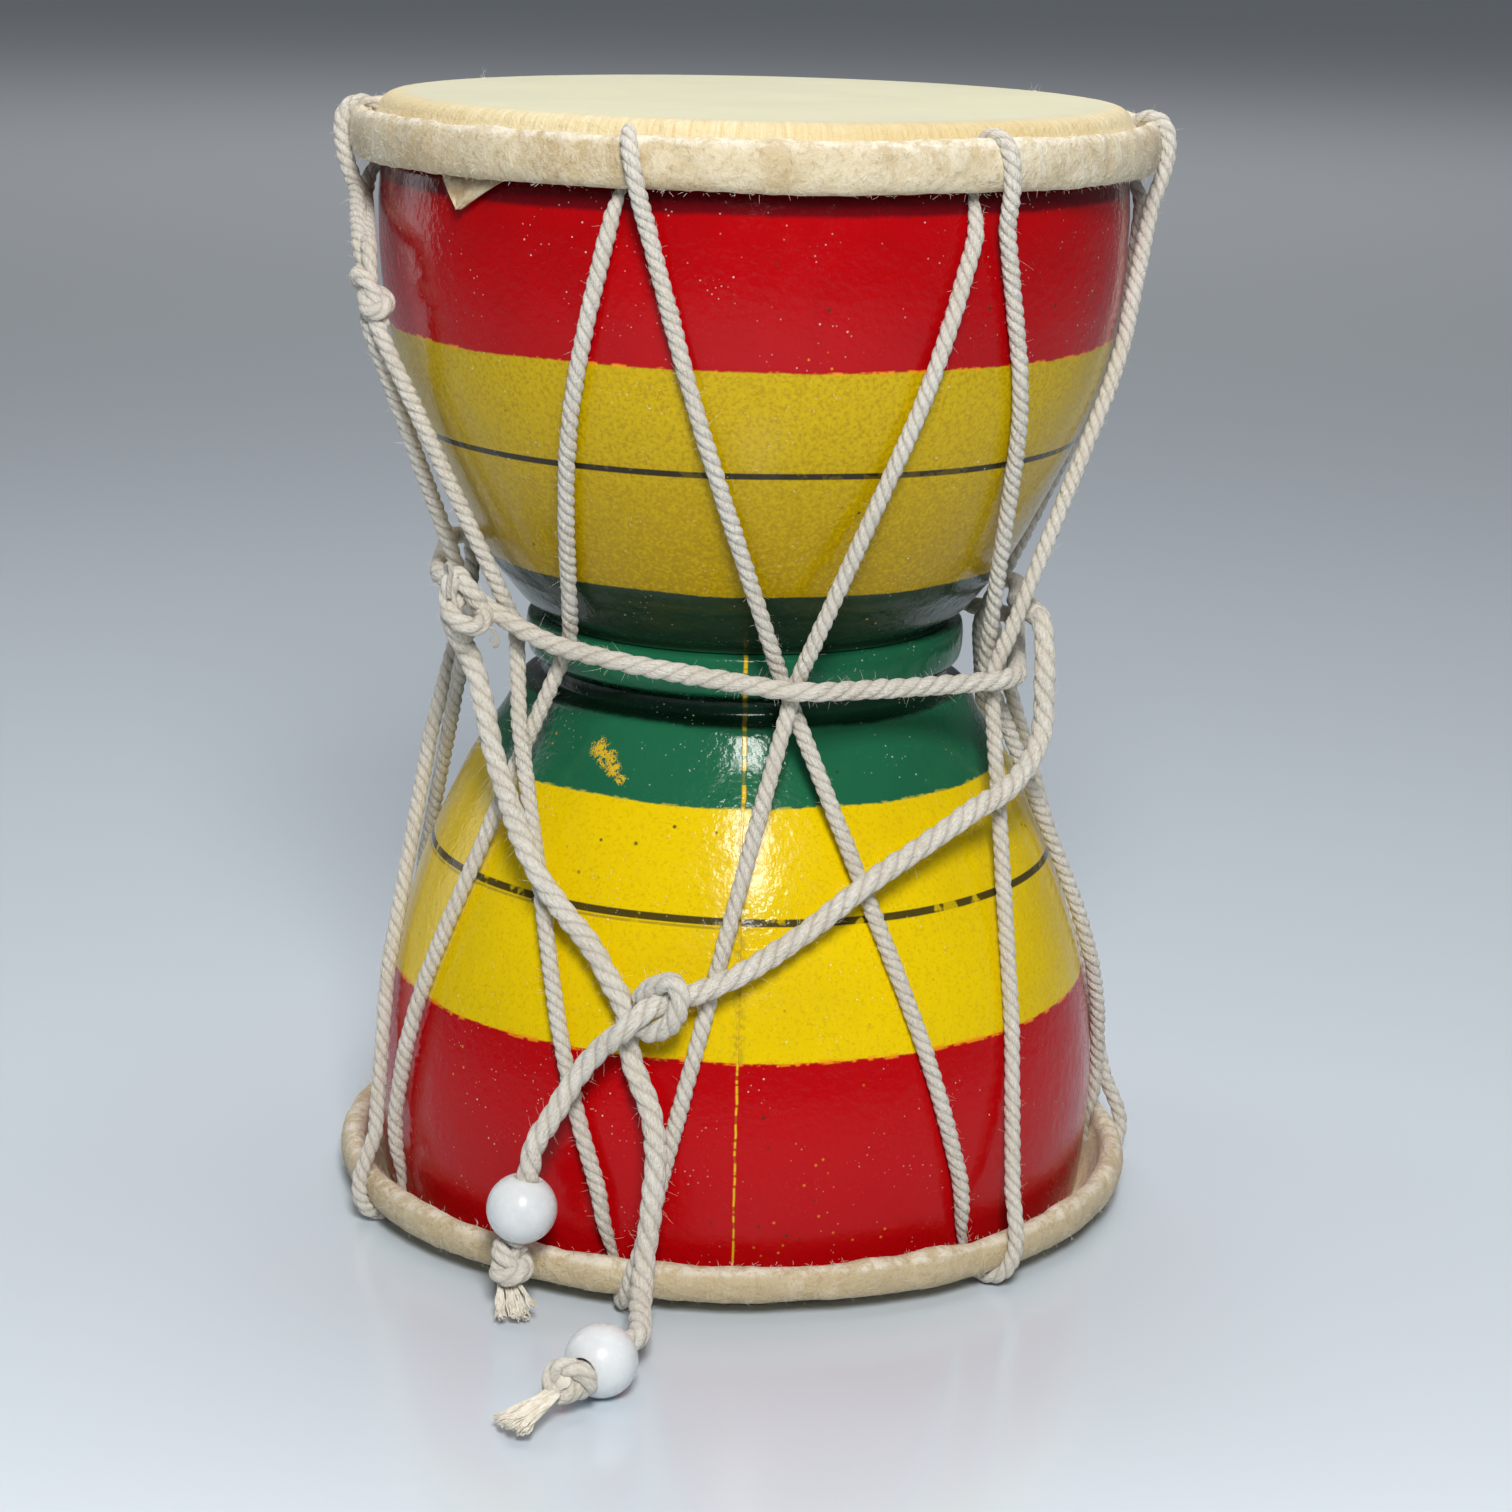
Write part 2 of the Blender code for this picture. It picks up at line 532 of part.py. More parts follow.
def bead(name, centre, direction):
    """A ball with a bore, its origin on the cord's line."""
    from mathutils import Vector
    top = math.sqrt(BEAD_R ** 2 - BORE_R ** 2)
    edge = math.degrees(math.asin(BORE_R / BEAD_R))
    arc = [(BEAD_R * math.sin(math.radians(t)), BEAD_R * math.cos(math.radians(t)))
           for t in np.linspace(edge, 180 - edge, 9)]
    obj = turned(name, arc + [(BORE_R, -top * 0.4), (BORE_R, top * 0.4)], drum, BEAD, steps=18, closed=True)
    obj.location = [c * MM for c in centre]
    obj.rotation_mode = "QUATERNION"
    obj.rotation_quaternion = Vector(direction).to_track_quat("Z", "Y")
    return obj


bead("bead_1", BEAD1, BEAD1_DIR)
bead("bead_2", BEAD2, BEAD2_DIR)


def tassel(name, start, direction, length, wide, flat, up=(0, 0, 1)):
    """The frayed end: a flattened cone that spreads from the knot."""
    from mathutils import Matrix, Vector
    bm = bmesh.new()
    bmesh.ops.create_cone(bm, cap_ends=True, segments=12, radius1=wide * MM, radius2=1.7 * MM, depth=length * MM)
    d = -Vector(direction).normalized()
    side = Vector(up).cross(d).normalized()
    lift = d.cross(side)
    bmesh.ops.scale(bm, vec=(1.0, flat, 1.0), verts=bm.verts)
    turn_to = Matrix((side, lift, d)).transposed().to_4x4()
    middle = Vector(start) * MM - d * (length * MM / 2)
    bmesh.ops.transform(bm, matrix=Matrix.Translation(middle) @ turn_to, verts=bm.verts)
    bmesh.ops.recalc_face_normals(bm, faces=bm.faces)
    mesh = bpy.data.meshes.new(name)
    bm.to_mesh(mesh)
    bm.free()
    return put(name, mesh, drum, ROPE)


KNOT1 = BEAD1 + BEAD1_DIR * 9.8
KNOT2 = BEAD2 + BEAD2_DIR * 9.8
FRAY1, FRAY2 = unit(0.27, -0.86, -0.42), unit(-0.69, -0.66, -0.30)
lump("end_knot_1", KNOT1, (4.0, 3.5, 3.75), drum, ROPE, BEAD1_DIR, u=12, v=8)
lump("end_knot_2", KNOT2, (4.0, 3.8, 3.75), drum, ROPE, BEAD2_DIR, u=12, v=8)
tassel("tassel_1", KNOT1 + np.array([-0.3, -0.9, -4.3]), FRAY1, 6.6, 3.3, 0.42, up=(0, -1, 0.4))
tassel("tassel_2", KNOT2 + FRAY2 * 4.3, FRAY2, 9.0, 4.0, 0.42)

# ---------------------------------------------------------------- what the strikers swing about
hinge = bpy.data.objects.new("striker_axis", None)
hinge.location = HINGE_RIGHT * MM
hinge.empty_display_size = 0.01
guides.objects.link(hinge)
bpy.context.view_layer.update()
for name in ("tail_left", "tail_right_upper", "tail_knot", "tail_right_lower", "end_knot_1", "end_knot_2",
             "tassel_1", "tassel_2", "bead_1", "bead_2"):
    piece = bpy.data.objects[name]
    piece.parent = hinge
    piece.matrix_parent_inverse = hinge.matrix_world.inverted()

for obj in drum.objects:
    if obj.type == "MESH":
        obj.data.shade_smooth()
        obj.data.set_sharp_from_angle(angle=math.radians(40))
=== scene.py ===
"""Looks of the damaru: gloss-painted bowls, raw skins, laid cotton rope, knotted strikers and white beads."""
import math

import bmesh
import bpy
import numpy as np
from mathutils import Matrix, Vector, noise


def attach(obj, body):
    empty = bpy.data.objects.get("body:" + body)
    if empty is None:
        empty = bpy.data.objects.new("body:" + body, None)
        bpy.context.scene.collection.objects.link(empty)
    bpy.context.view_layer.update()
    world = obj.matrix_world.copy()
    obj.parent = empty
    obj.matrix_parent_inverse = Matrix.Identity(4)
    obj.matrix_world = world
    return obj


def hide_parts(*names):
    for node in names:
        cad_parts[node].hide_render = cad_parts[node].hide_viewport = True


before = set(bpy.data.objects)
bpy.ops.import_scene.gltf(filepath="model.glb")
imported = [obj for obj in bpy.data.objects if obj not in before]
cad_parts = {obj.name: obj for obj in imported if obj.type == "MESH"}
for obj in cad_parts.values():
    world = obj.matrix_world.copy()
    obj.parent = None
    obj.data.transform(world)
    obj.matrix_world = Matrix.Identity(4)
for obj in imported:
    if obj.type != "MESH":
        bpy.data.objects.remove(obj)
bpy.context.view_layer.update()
MM = 0.001

# ------------------------------------------------------------------ camera
YAW, PITCH, ROLL = math.radians(0.25), math.radians(14.51), math.radians(1.35)
fwd = Vector((math.sin(YAW) * math.cos(PITCH), math.cos(YAW) * math.cos(PITCH), -math.sin(PITCH)))
right = Vector((math.cos(YAW), -math.sin(YAW), 0.0))
up = right.cross(fwd)
r2 = math.cos(ROLL) * right + math.sin(ROLL) * up
u2 = -math.sin(ROLL) * right + math.cos(ROLL) * up
data = bpy.data.cameras.new("camera")
data.sensor_width = 36.0
data.lens = 81.1
data.clip_start = 0.01
camera = bpy.data.objects.new("camera", data)
bpy.context.scene.collection.objects.link(camera)
camera.matrix_world = Matrix((
    (r2.x, u2.x, -fwd.x, 0.0),
    (r2.y, u2.y, -fwd.y, -0.6173),
    (r2.z, u2.z, -fwd.z, 0.2412),
    (0, 0, 0, 1)))
bpy.context.scene.camera = camera


# ------------------------------------------------------------------ small helpers
def link(obj):
    bpy.context.scene.collection.objects.link(obj)
    return obj


def mesh_object(name, verts, faces, mat, smooth=True):
    mesh = bpy.data.meshes.new(name)
    mesh.from_pydata(np.asarray(verts, float).tolist(), [], [tuple(int(c) for c in f) for f in faces])
    if smooth:
        mesh.shade_smooth()
    mesh.materials.append(mat)
    return link(bpy.data.objects.new(name, mesh))


def belongs(obj, body, slot, *nodes):
    """The piece rides on the body and stands for the CAD nodes, which are hidden; slot is not used."""
    if nodes:
        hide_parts(*nodes)
    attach(obj, body)


def polar(az, r, z):
    a = math.radians(az)
    return np.array([r * math.sin(a), -r * math.cos(a), z])


def unit(x, y, z):
    v = np.array([x, y, z], float)
    return v / np.linalg.norm(v)


def unit_rows(v):
    return v / np.maximum(np.linalg.norm(v, axis=-1, keepdims=True), 1e-9)


class Nodes:
    """A short way to write a node tree."""

    def __init__(self, name):
        self.mat = bpy.data.materials.new(name)
        self.mat.use_nodes = True
        self.tree = self.mat.node_tree
        self.bsdf = self.tree.nodes["Principled BSDF"]

    def add(self, kind, inputs=None, **settings):
        node = self.tree.nodes.new(kind)
        for key, value in settings.items():
            setattr(node, key, value)
        for key, value in (inputs or {}).items():
            if isinstance(value, bpy.types.NodeSocket):
                self.tree.links.new(value, node.inputs[key])
            else:
                node.inputs[key].default_value = value
        return node

    def link(self, out, socket):
        self.tree.links.new(out, self.bsdf.inputs[socket])

    def math(self, op, a, b=0.0, clamp=False):
        return self.add("ShaderNodeMath", {0: a, 1: b}, operation=op, use_clamp=clamp).outputs[0]

    def times(self, *values):
        out = values[0]
        for value in values[1:]:
            out = self.math("MULTIPLY", out, value)
        return out

    def mix(self, factor, a, b):
        node = self.add("ShaderNodeMix", data_type="RGBA")
        for key, value in (("Factor", factor), ("A", a), ("B", b)):
            socket = [s for s in node.inputs if s.name == key and s.enabled][0]
            if isinstance(value, bpy.types.NodeSocket):
                self.tree.links.new(value, socket)
            else:
                socket.default_value = value
        return [s for s in node.outputs if s.enabled][0]

    def noise(self, scale, detail=2.0, rough=0.5, vector=None, distortion=0.0):
        inputs = {"Scale": scale, "Detail": detail, "Roughness": rough, "Distortion": distortion}
        if vector is not None:
            inputs["Vector"] = vector
        return self.add("ShaderNodeTexNoise", inputs).outputs["Fac"]

    def spots(self, scale, low, high, vector):
        """1 inside small round spots, one in each cell."""
        cell = self.add("ShaderNodeTexVoronoi", {"Vector": vector, "Scale": scale})
        return self.step(cell.outputs["Distance"], high, low)

    def step(self, value, low, high):
        return self.add("ShaderNodeMapRange", {"Value": value, "From Min": low, "From Max": high}, clamp=True,
                        interpolation_type="SMOOTHSTEP").outputs["Result"]

    def bump(self, height, distance, strength=1.0, normal=None):
        inputs = {"Height": height, "Distance": distance, "Strength": strength}
        if normal is not None:
            inputs["Normal"] = normal
        return self.add("ShaderNodeBump", inputs).outputs["Normal"]


# ------------------------------------------------------------------ materials
def rope_material(name, warm=0.0):
    """Cotton: fibres along the rope, painted shade between its strands, a little soiled."""
    n = Nodes(name)
    at = n.add("ShaderNodeTexCoord").outputs["Object"]
    lay = n.add("ShaderNodeSeparateXYZ", {0: n.add("ShaderNodeUVMap", uv_map="lay").outputs[0]})
    groove = n.add("ShaderNodeSeparateXYZ", {0: n.add("ShaderNodeUVMap", uv_map="groove").outputs[0]}).outputs["X"]
    angle = n.math("MULTIPLY", lay.outputs["X"], 2 * math.pi)
    around = n.add("ShaderNodeCombineXYZ", {0: n.math("MULTIPLY", n.math("COSINE", angle), 2.0),
                                            1: n.math("MULTIPLY", n.math("SINE", angle), 2.0),
                                            2: n.math("MULTIPLY", lay.outputs["Y"], 0.22)}).outputs[0]
    yarn = n.noise(2.1, 2.0, 0.6, around, 0.3)
    hair = n.noise(6.5, 2.0, 0.7, around, 0.2)
    cloud = n.noise(60.0, 3.0, 0.6, at)
    colour = n.mix(n.step(cloud, 0.34, 0.68), (0.76, 0.70, 0.59, 1), (0.84, 0.80, 0.715, 1))
    colour = n.mix(n.times(n.step(yarn, 0.50, 0.34), 0.38), colour, (0.47, 0.39, 0.285, 1))
    colour = n.mix(n.times(n.step(hair, 0.50, 0.64), 0.60), colour, (0.93, 0.91, 0.85, 1))
    colour = n.mix(n.times(n.step(hair, 0.46, 0.34), 0.45), colour, (0.52, 0.44, 0.33, 1))
    # painted shade in the grooves between the strands
    colour = n.mix(n.times(n.math("POWER", groove, 1.4), 0.50), colour, (0.36, 0.28, 0.19, 1))
    if warm:
        colour = n.mix(warm, colour, (0.60, 0.46, 0.30, 1))
    n.link(colour, "Base Color")
    n.bsdf.inputs["Roughness"].default_value = 0.95
    n.bsdf.inputs["Specular IOR Level"].default_value = 0.2
    n.bsdf.inputs["Sheen Weight"].default_value = 0.35
    n.bsdf.inputs["Sheen Roughness"].default_value = 0.6
    n.bsdf.inputs["Subsurface Weight"].default_value = 0.10
    n.bsdf.inputs["Subsurface Radius"].default_value = (0.0010, 0.0008, 0.0006)
    n.bsdf.inputs["Subsurface Scale"].default_value = 1.0
    height = n.math("ADD", n.math("MULTIPLY", yarn, 0.65), n.math("MULTIPLY", hair, 0.35))
    fluff = n.bump(n.noise(1500.0, 3.0, 0.7, at), 0.00035, 0.9)
    n.link(n.bump(height, 0.0008, 1.0, fluff), "Normal")
    return n.mat


def yarn_material():
    n = Nodes("cotton_yarn_look")
    at = n.add("ShaderNodeTexCoord").outputs["Object"]
    shade = n.noise(900.0, 2.0, 0.6, at)
    colour = n.mix(n.step(shade, 0.35, 0.65), (0.70, 0.635, 0.52, 1), (0.84, 0.795, 0.70, 1))
    n.link(colour, "Base Color")
    n.bsdf.inputs["Roughness"].default_value = 0.95
    n.bsdf.inputs["Specular IOR Level"].default_value = 0.2
    n.bsdf.inputs["Sheen Weight"].default_value = 0.2
    return n.mat


# where the lower green is chipped down to the yellow: (place, size)
CHIP = (((-0.0250, -0.0365, 0.0917), 0.0024), ((-0.0238, -0.0382, 0.0904), 0.0024), ((-0.0225, -0.0400, 0.0890), 0.0018),
        ((-0.0212, -0.0419, 0.0875), 0.0013))


def paint_material():
    n = Nodes("shell_paint_look")
    at = n.add("ShaderNodeTexCoord").outputs["Object"]
    xyz = n.add("ShaderNodeSeparateXYZ", {0: at})
    X, Y, Z = xyz.outputs["X"], xyz.outputs["Y"], xyz.outputs["Z"]

    def centred(value, size):
        return n.math("MULTIPLY", n.math("SUBTRACT", value, 0.5), size)

    wobble = n.noise(38.0, 2.0, 0.5, at)
    fine = n.noise(700.0, 3.0, 0.65, at)
    rag = n.noise(260.0, 2.0, 0.6, at)
    z = n.math("ADD", Z, centred(wobble, 0.0013))
    z = n.math("ADD", z, centred(fine, 0.00045))
    z = n.math("ADD", z, centred(rag, 0.0004))
    straight = n.math("ADD", Z, centred(n.noise(18.0, 1.0, 0.5, at), 0.0012))
    front = n.step(Y, -0.010, -0.022)

    def above(value, edge, soft=0.00018):
        return n.step(value, edge - soft, edge + soft)

    def near(value, middle, half, soft=0.00012):
        away = n.math("ABSOLUTE", n.math("SUBTRACT", value, middle))
        return n.math("SUBTRACT", 1.0, n.step(away, half - soft, half + soft))

    red = (0.415, 0.0010, 0.0028, 1)
    red_dark = (0.300, 0.0012, 0.0030, 1)
    yellow = (0.770, 0.545, 0.0006, 1)
    yellow_dark = (0.560, 0.370, 0.0012, 1)
    green = (0.0130, 0.1250, 0.0570, 1)
    green_dark = (0.0080, 0.0760, 0.0370, 1)
    black = (0.010, 0.009, 0.008, 1)
    wood = (0.42, 0.25, 0.11, 1)
    big = n.noise(30.0, 3.0, 0.6, at)
    grain = n.noise(1500.0, 2.0, 0.6, at)
    coarse = n.noise(420.0, 3.0, 0.65, at)
    red_mix = n.mix(n.times(n.step(big, 0.35, 0.70), 0.50), red, red_dark)
    red_mix = n.mix(n.times(n.step(Z, 0.060, 0.030), 0.85), red_mix, (0.465, 0.0010, 0.0030, 1))
    # painted shadow of the top roll: the red is darkened in a band just under it
    red_mix = n.mix(n.times(n.step(z, 0.18765, 0.18860), 0.76), red_mix, (0.050, 0.0020, 0.0050, 1))
    yellow_mix = n.mix(n.times(n.step(big, 0.40, 0.75), 0.30), yellow, yellow_dark)
    upper = n.step(Z, 0.110, 0.116)
    # painted shade: the upper bowl's yellow darkens towards its underside
    underside_shade_yellow = n.mix(n.step(Z, 0.122, 0.156), (0.360, 0.222, 0.0006, 1), (0.500, 0.335, 0.0006, 1))
    yellow_mix = n.mix(n.times(upper, 0.90), yellow_mix, underside_shade_yellow)
    yellow_mix = n.mix(n.times(n.step(grain, 0.52, 0.66), 0.30), yellow_mix, (0.42, 0.27, 0.0015, 1))
    yellow_mix = n.mix(n.times(n.step(coarse, 0.54, 0.70), upper, 0.10), yellow_mix, (0.26, 0.155, 0.0006, 1))
    yellow_mix = n.mix(n.times(n.step(grain, 0.50, 0.36), upper, 0.42), yellow_mix, (0.62, 0.445, 0.0008, 1))
    yellow_mix = n.mix(n.times(n.step(grain, 0.52, 0.62), upper, 0.30), yellow_mix, (0.24, 0.14, 0.0005, 1))
    green_mix = n.mix(n.times(n.step(big, 0.35, 0.7), 0.5), green, green_dark)
    # painted shade: the green above the ridge, on the upper bowl's underside, is darker
    green_mix = n.mix(n.step(Z, 0.1095, 0.1102), green_mix, (0.0170, 0.038, 0.019, 1))
    # painted shade: the groove between the ridge and the lower bowl is darkened to near black
    crease_shade = n.times(n.step(z, 0.0966, 0.0973), n.step(z, 0.1028, 0.1013), 0.86)
    green_mix = n.mix(crease_shade, green_mix, (0.0022, 0.0050, 0.0030, 1))
    colour = n.mix(n.math("SUBTRACT", above(z, 0.0439), above(z, 0.1627)), red_mix, yellow_mix)
    colour = n.mix(n.math("SUBTRACT", above(z, 0.0845), above(z, 0.1219)), colour, green_mix)
    # paint of the band below showing along the ragged edges
    fringe = n.step(n.noise(330.0, 2.0, 0.6, at), 0.50, 0.60)
    for edge, half in ((0.0439, 0.00042), (0.1627, 0.00030)):
        colour = n.mix(n.times(near(z, edge, half), fringe, 0.75), colour, (0.83, 0.30, 0.010, 1))
    low_fringe = n.times(near(z, 0.0845, 0.00030), fringe, 0.55)
    colour = n.mix(low_fringe, colour, (0.62, 0.50, 0.03, 1))
    # the two pencil-thin black lines: the lower one is worn and doubled
    worn = n.step(n.noise(150.0, 3.0, 0.65, at), 0.36, 0.44)
    colour = n.mix(n.times(near(straight, 0.14455, 0.00055), n.math("MAXIMUM", worn, 0.88), 0.96), colour, black)
    low_line = n.math("ADD", straight, n.times(X, 0.004))
    wide = n.times(near(low_line, 0.06665, 0.00062), n.math("MAXIMUM", worn, 0.35), 0.92)
    colour = n.mix(wide, colour, black)
    second = n.times(near(low_line, 0.06560, 0.00022), n.step(X, 0.008, -0.004), worn, 0.55)
    colour = n.mix(second, colour, (0.16, 0.11, 0.02, 1))
    # the seam down the front of the lower bowl and the ridge, in dashes of the yellow undercoat
    seam_x = n.math("ADD", n.math("SUBTRACT", X, 0.0004), centred(n.noise(120.0, 2.0, 0.6, at), 0.0010))
    seam_x = n.math("ABSOLUTE", seam_x)
    low_part = n.step(Z, 0.1096, 0.1092)
    dash = n.step(n.noise(420.0, 2.0, 0.7, n.add("ShaderNodeCombineXYZ", {2: Z}).outputs[0]), 0.44, 0.50)
    on_green = n.math("SUBTRACT", above(z, 0.0845), 0.0, True)
    on_yellow = n.math("SUBTRACT", above(z, 0.0439), above(z, 0.0845), True)
    thick = n.math("SUBTRACT", 1.0, n.step(seam_x, 0.00022, 0.00052))
    thin = n.math("SUBTRACT", 1.0, n.step(seam_x, 0.00008, 0.00030))
    mark = n.times(n.mix(on_green, thin, thick), front, low_part, n.math("SUBTRACT", 1.0, crease_shade))
    colour = n.mix(n.times(mark, n.math("MAXIMUM", dash, 0.15), 0.92), colour, (0.80, 0.50, 0.018, 1))
    dull = n.math("SUBTRACT", 1.0, n.step(seam_x, 0.0004, 0.0016))
    colour = n.mix(n.times(dull, on_yellow, front, low_part, n.step(fine, 0.40, 0.56), 0.55), colour, (0.36, 0.27, 0.012, 1))
    # a chip in the lower green, down to the yellow
    for (cx, cy, cz), size in CHIP:
        away = n.add("ShaderNodeVectorMath", {0: at, 1: (cx, cy, cz)}, operation="DISTANCE").outputs["Value"]
        ring = n.noise(900.0, 3.0, 0.75, at, 0.6)
        chip = n.times(n.step(n.math("ADD", n.math("DIVIDE", away, size), centred(ring, 3.8)), 0.78, 0.66), n.step(ring, 0.40, 0.46))
        colour = n.mix(chip, colour, (0.66, 0.42, 0.022, 1))
    # flecks: pale dust, a few orange chips in the red, dark specks in the yellow
    some = n.step(n.noise(75.0, 2.0, 0.5, at), 0.53, 0.60)
    colour = n.mix(n.times(n.spots(420.0, 0.04, 0.09, at), some, 0.70), colour, (0.80, 0.78, 0.72, 1))
    colour = n.mix(n.times(n.spots(900.0, 0.08, 0.16, at), n.step(n.noise(150.0, 2.0, 0.5, at), 0.55, 0.61), 0.50), colour, (0.66, 0.60, 0.52, 1))
    rare = n.step(n.noise(42.0, 1.0, 0.5, at), 0.63, 0.66)
    colour = n.mix(n.times(n.spots(380.0, 0.06, 0.12, at), rare, 0.80), colour, (0.70, 0.27, 0.02, 1))
    dark = n.times(n.spots(240.0, 0.05, 0.11, at), n.step(n.noise(48.0, 1.0, 0.5, at), 0.57, 0.63), 0.85)
    colour = n.mix(dark, colour, (0.035, 0.024, 0.012, 1))
    veil = n.step(n.noise(13.0, 4.0, 0.7, at), 0.48, 0.78)
    colour = n.mix(n.times(veil, 0.012), colour, (0.42, 0.36, 0.30, 1))
    # bare wood inside
    radius = n.math("SQRT", n.math("ADD", n.math("MULTIPLY", X, X), n.math("MULTIPLY", Y, Y)))
    colour = n.mix(n.math("LESS_THAN", radius, 0.0300), colour, wood)
    n.link(colour, "Base Color")
    dusty = n.noise(110.0, 4.0, 0.7, at)
    rough = n.math("ADD", 0.11, n.math("MULTIPLY", n.step(dusty, 0.35, 0.75), 0.15))
    rough = n.math("ADD", rough, n.times(n.step(grain, 0.5, 0.7), 0.10))
    n.link(rough, "Roughness")
    n.bsdf.inputs["Specular IOR Level"].default_value = 0.15
    n.bsdf.inputs["Coat Weight"].default_value = 0.12
    n.bsdf.inputs["Coat Roughness"].default_value = 0.10
    peel = n.bump(n.noise(620.0, 2.0, 0.55, at), 0.00030, 0.55)
    first = n.bump(n.noise(210.0, 3.0, 0.6, at), 0.00045, 0.42, peel)
    second_bump = n.bump(n.noise(28.0, 1.0, 0.5, at), 0.0020, 0.07, first)
    n.link(n.bump(n.times(mark, -1.0), 0.00025, 0.6, second_bump), "Normal")
    return n.mat


def skin_material():
    """Raw skin: a pale, faintly green membrane, a ribbed tan lip and a suede-like rolled edge."""
    n = Nodes("raw_skin_look")
    at = n.add("ShaderNodeTexCoord").outputs["Object"]
    xyz = n.add("ShaderNodeSeparateXYZ", {0: at})
    X, Y, Z = xyz.outputs["X"], xyz.outputs["Y"], xyz.outputs["Z"]
    radius = n.math("SQRT", n.math("ADD", n.math("MULTIPLY", X, X), n.math("MULTIPLY", Y, Y)))
    angle = n.math("ARCTAN2", X, Y)
    ribs = n.noise(1.0, 3.0, 0.65, n.add("ShaderNodeCombineXYZ", {0: n.math("MULTIPLY", angle, 75.0), 1: n.math("MULTIPLY", Z, 60.0), 2: n.math("MULTIPLY", radius, 120.0)}).outputs[0])
    cloud = n.noise(42.0, 4.0, 0.65, at)
    blotch = n.noise(16.0, 3.0, 0.6, at)
    fibre = n.noise(800.0, 3.0, 0.75, at, 0.3)
    curl = n.noise(300.0, 4.0, 0.75, at, 0.35)
    membrane = n.mix(n.step(blotch, 0.35, 0.68), (0.62, 0.60, 0.40, 1), (0.56, 0.545, 0.38, 1))
    membrane = n.mix(n.times(n.step(cloud, 0.50, 0.72), 0.35), membrane, (0.66, 0.62, 0.45, 1))
    lip = n.mix(n.step(ribs, 0.30, 0.70), (0.66, 0.53, 0.28, 1), (0.77, 0.68, 0.45, 1))
    lip = n.mix(n.times(n.step(blotch, 0.46, 0.66), 0.55), lip, (0.60, 0.44, 0.19, 1))
    roll = n.mix(n.step(cloud, 0.34, 0.68), (0.50, 0.385, 0.215, 1), (0.66, 0.57, 0.39, 1))
    roll = n.mix(n.times(n.step(curl, 0.44, 0.62), 0.50), roll, (0.72, 0.65, 0.49, 1))
    roll = n.mix(n.times(n.step(fibre, 0.50, 0.68), 0.50), roll, (0.36, 0.25, 0.125, 1))
    roll = n.mix(n.times(n.step(blotch, 0.56, 0.70), n.step(curl, 0.40, 0.60), 0.40), roll, (0.80, 0.765, 0.66, 1))
    low_tan = n.times(n.step(Z, 0.020, 0.012), n.step(cloud, 0.40, 0.62), 0.55)
    roll = n.mix(low_tan, roll, (0.42, 0.31, 0.16, 1))
    inner = n.step(radius, 0.0652, 0.0605)
    edge = n.step(radius, 0.0684, 0.0675)
    colour = n.mix(edge, roll, lip)
    colour = n.mix(inner, colour, membrane)
    # a paler line along the top of each roll
    high = n.math("MAXIMUM", n.times(n.step(Z, 0.1988, 0.2002), n.step(radius, 0.0688, 0.0694)),
                  n.times(n.step(Z, 0.0078, 0.0088), n.step(Z, 0.0112, 0.0098)))
    colour = n.mix(n.times(high, n.step(curl, 0.38, 0.60), 0.55), colour, (0.84, 0.81, 0.72, 1))
    n.link(colour, "Base Color")
    n.bsdf.inputs["Roughness"].default_value = 0.72
    n.bsdf.inputs["Specular IOR Level"].default_value = 0.30
    n.bsdf.inputs["Subsurface Weight"].default_value = 0.14
    n.bsdf.inputs["Subsurface Radius"].default_value = (0.0016, 0.0011, 0.0006)
    n.bsdf.inputs["Subsurface Scale"].default_value = 1.0
    n.bsdf.inputs["Sheen Weight"].default_value = 0.12
    outer = n.math("SUBTRACT", 1.0, inner)
    first = n.bump(n.times(curl, outer), 0.0007, 0.9)
    second = n.bump(n.times(fibre, outer), 0.00035, 0.8, first)
    n.link(n.bump(n.times(ribs, edge, outer), 0.0004, 0.6, second), "Normal")
    return n.mat


def hide_flap_material():
    n = Nodes("hide_flap_look")
    at = n.add("ShaderNodeTexCoord").outputs["Object"]
    cloud = n.noise(260.0, 4.0, 0.6, at)
    colour = n.mix(n.step(cloud, 0.38, 0.64), (0.40, 0.28, 0.14, 1), (0.66, 0.55, 0.37, 1))
    n.link(colour, "Base Color")
    n.bsdf.inputs["Roughness"].default_value = 0.6
    n.link(n.bump(cloud, 0.0008, 0.9), "Normal")
    return n.mat


def bead_material():
    n = Nodes("white_bead_look")
    at = n.add("ShaderNodeTexCoord").outputs["Object"]
    colour = n.mix(n.step(n.noise(160.0, 3.0, 0.6, at), 0.42, 0.72), (0.74, 0.77, 0.785, 1), (0.68, 0.71, 0.725, 1))
    n.link(colour, "Base Color")
    n.link(n.math("ADD", 0.20, n.math("MULTIPLY", n.noise(420.0, 3.0, 0.6, at), 0.14)), "Roughness")
    n.bsdf.inputs["Specular IOR Level"].default_value = 0.38
    n.bsdf.inputs["Subsurface Weight"].default_value = 0.35
    n.bsdf.inputs["Subsurface Radius"].default_value = (0.003, 0.003, 0.003)
    n.bsdf.inputs["Subsurface Scale"].default_value = 1.0
    n.link(n.bump(n.noise(300.0, 2.0, 0.5, at), 0.0001, 0.25), "Normal")
    return n.mat


PAINT, SKIN, ROPE, BEAD = paint_material(), skin_material(), rope_material("cotton_look"), bead_material()
YARN, FLAP = yarn_material(), hide_flap_material()


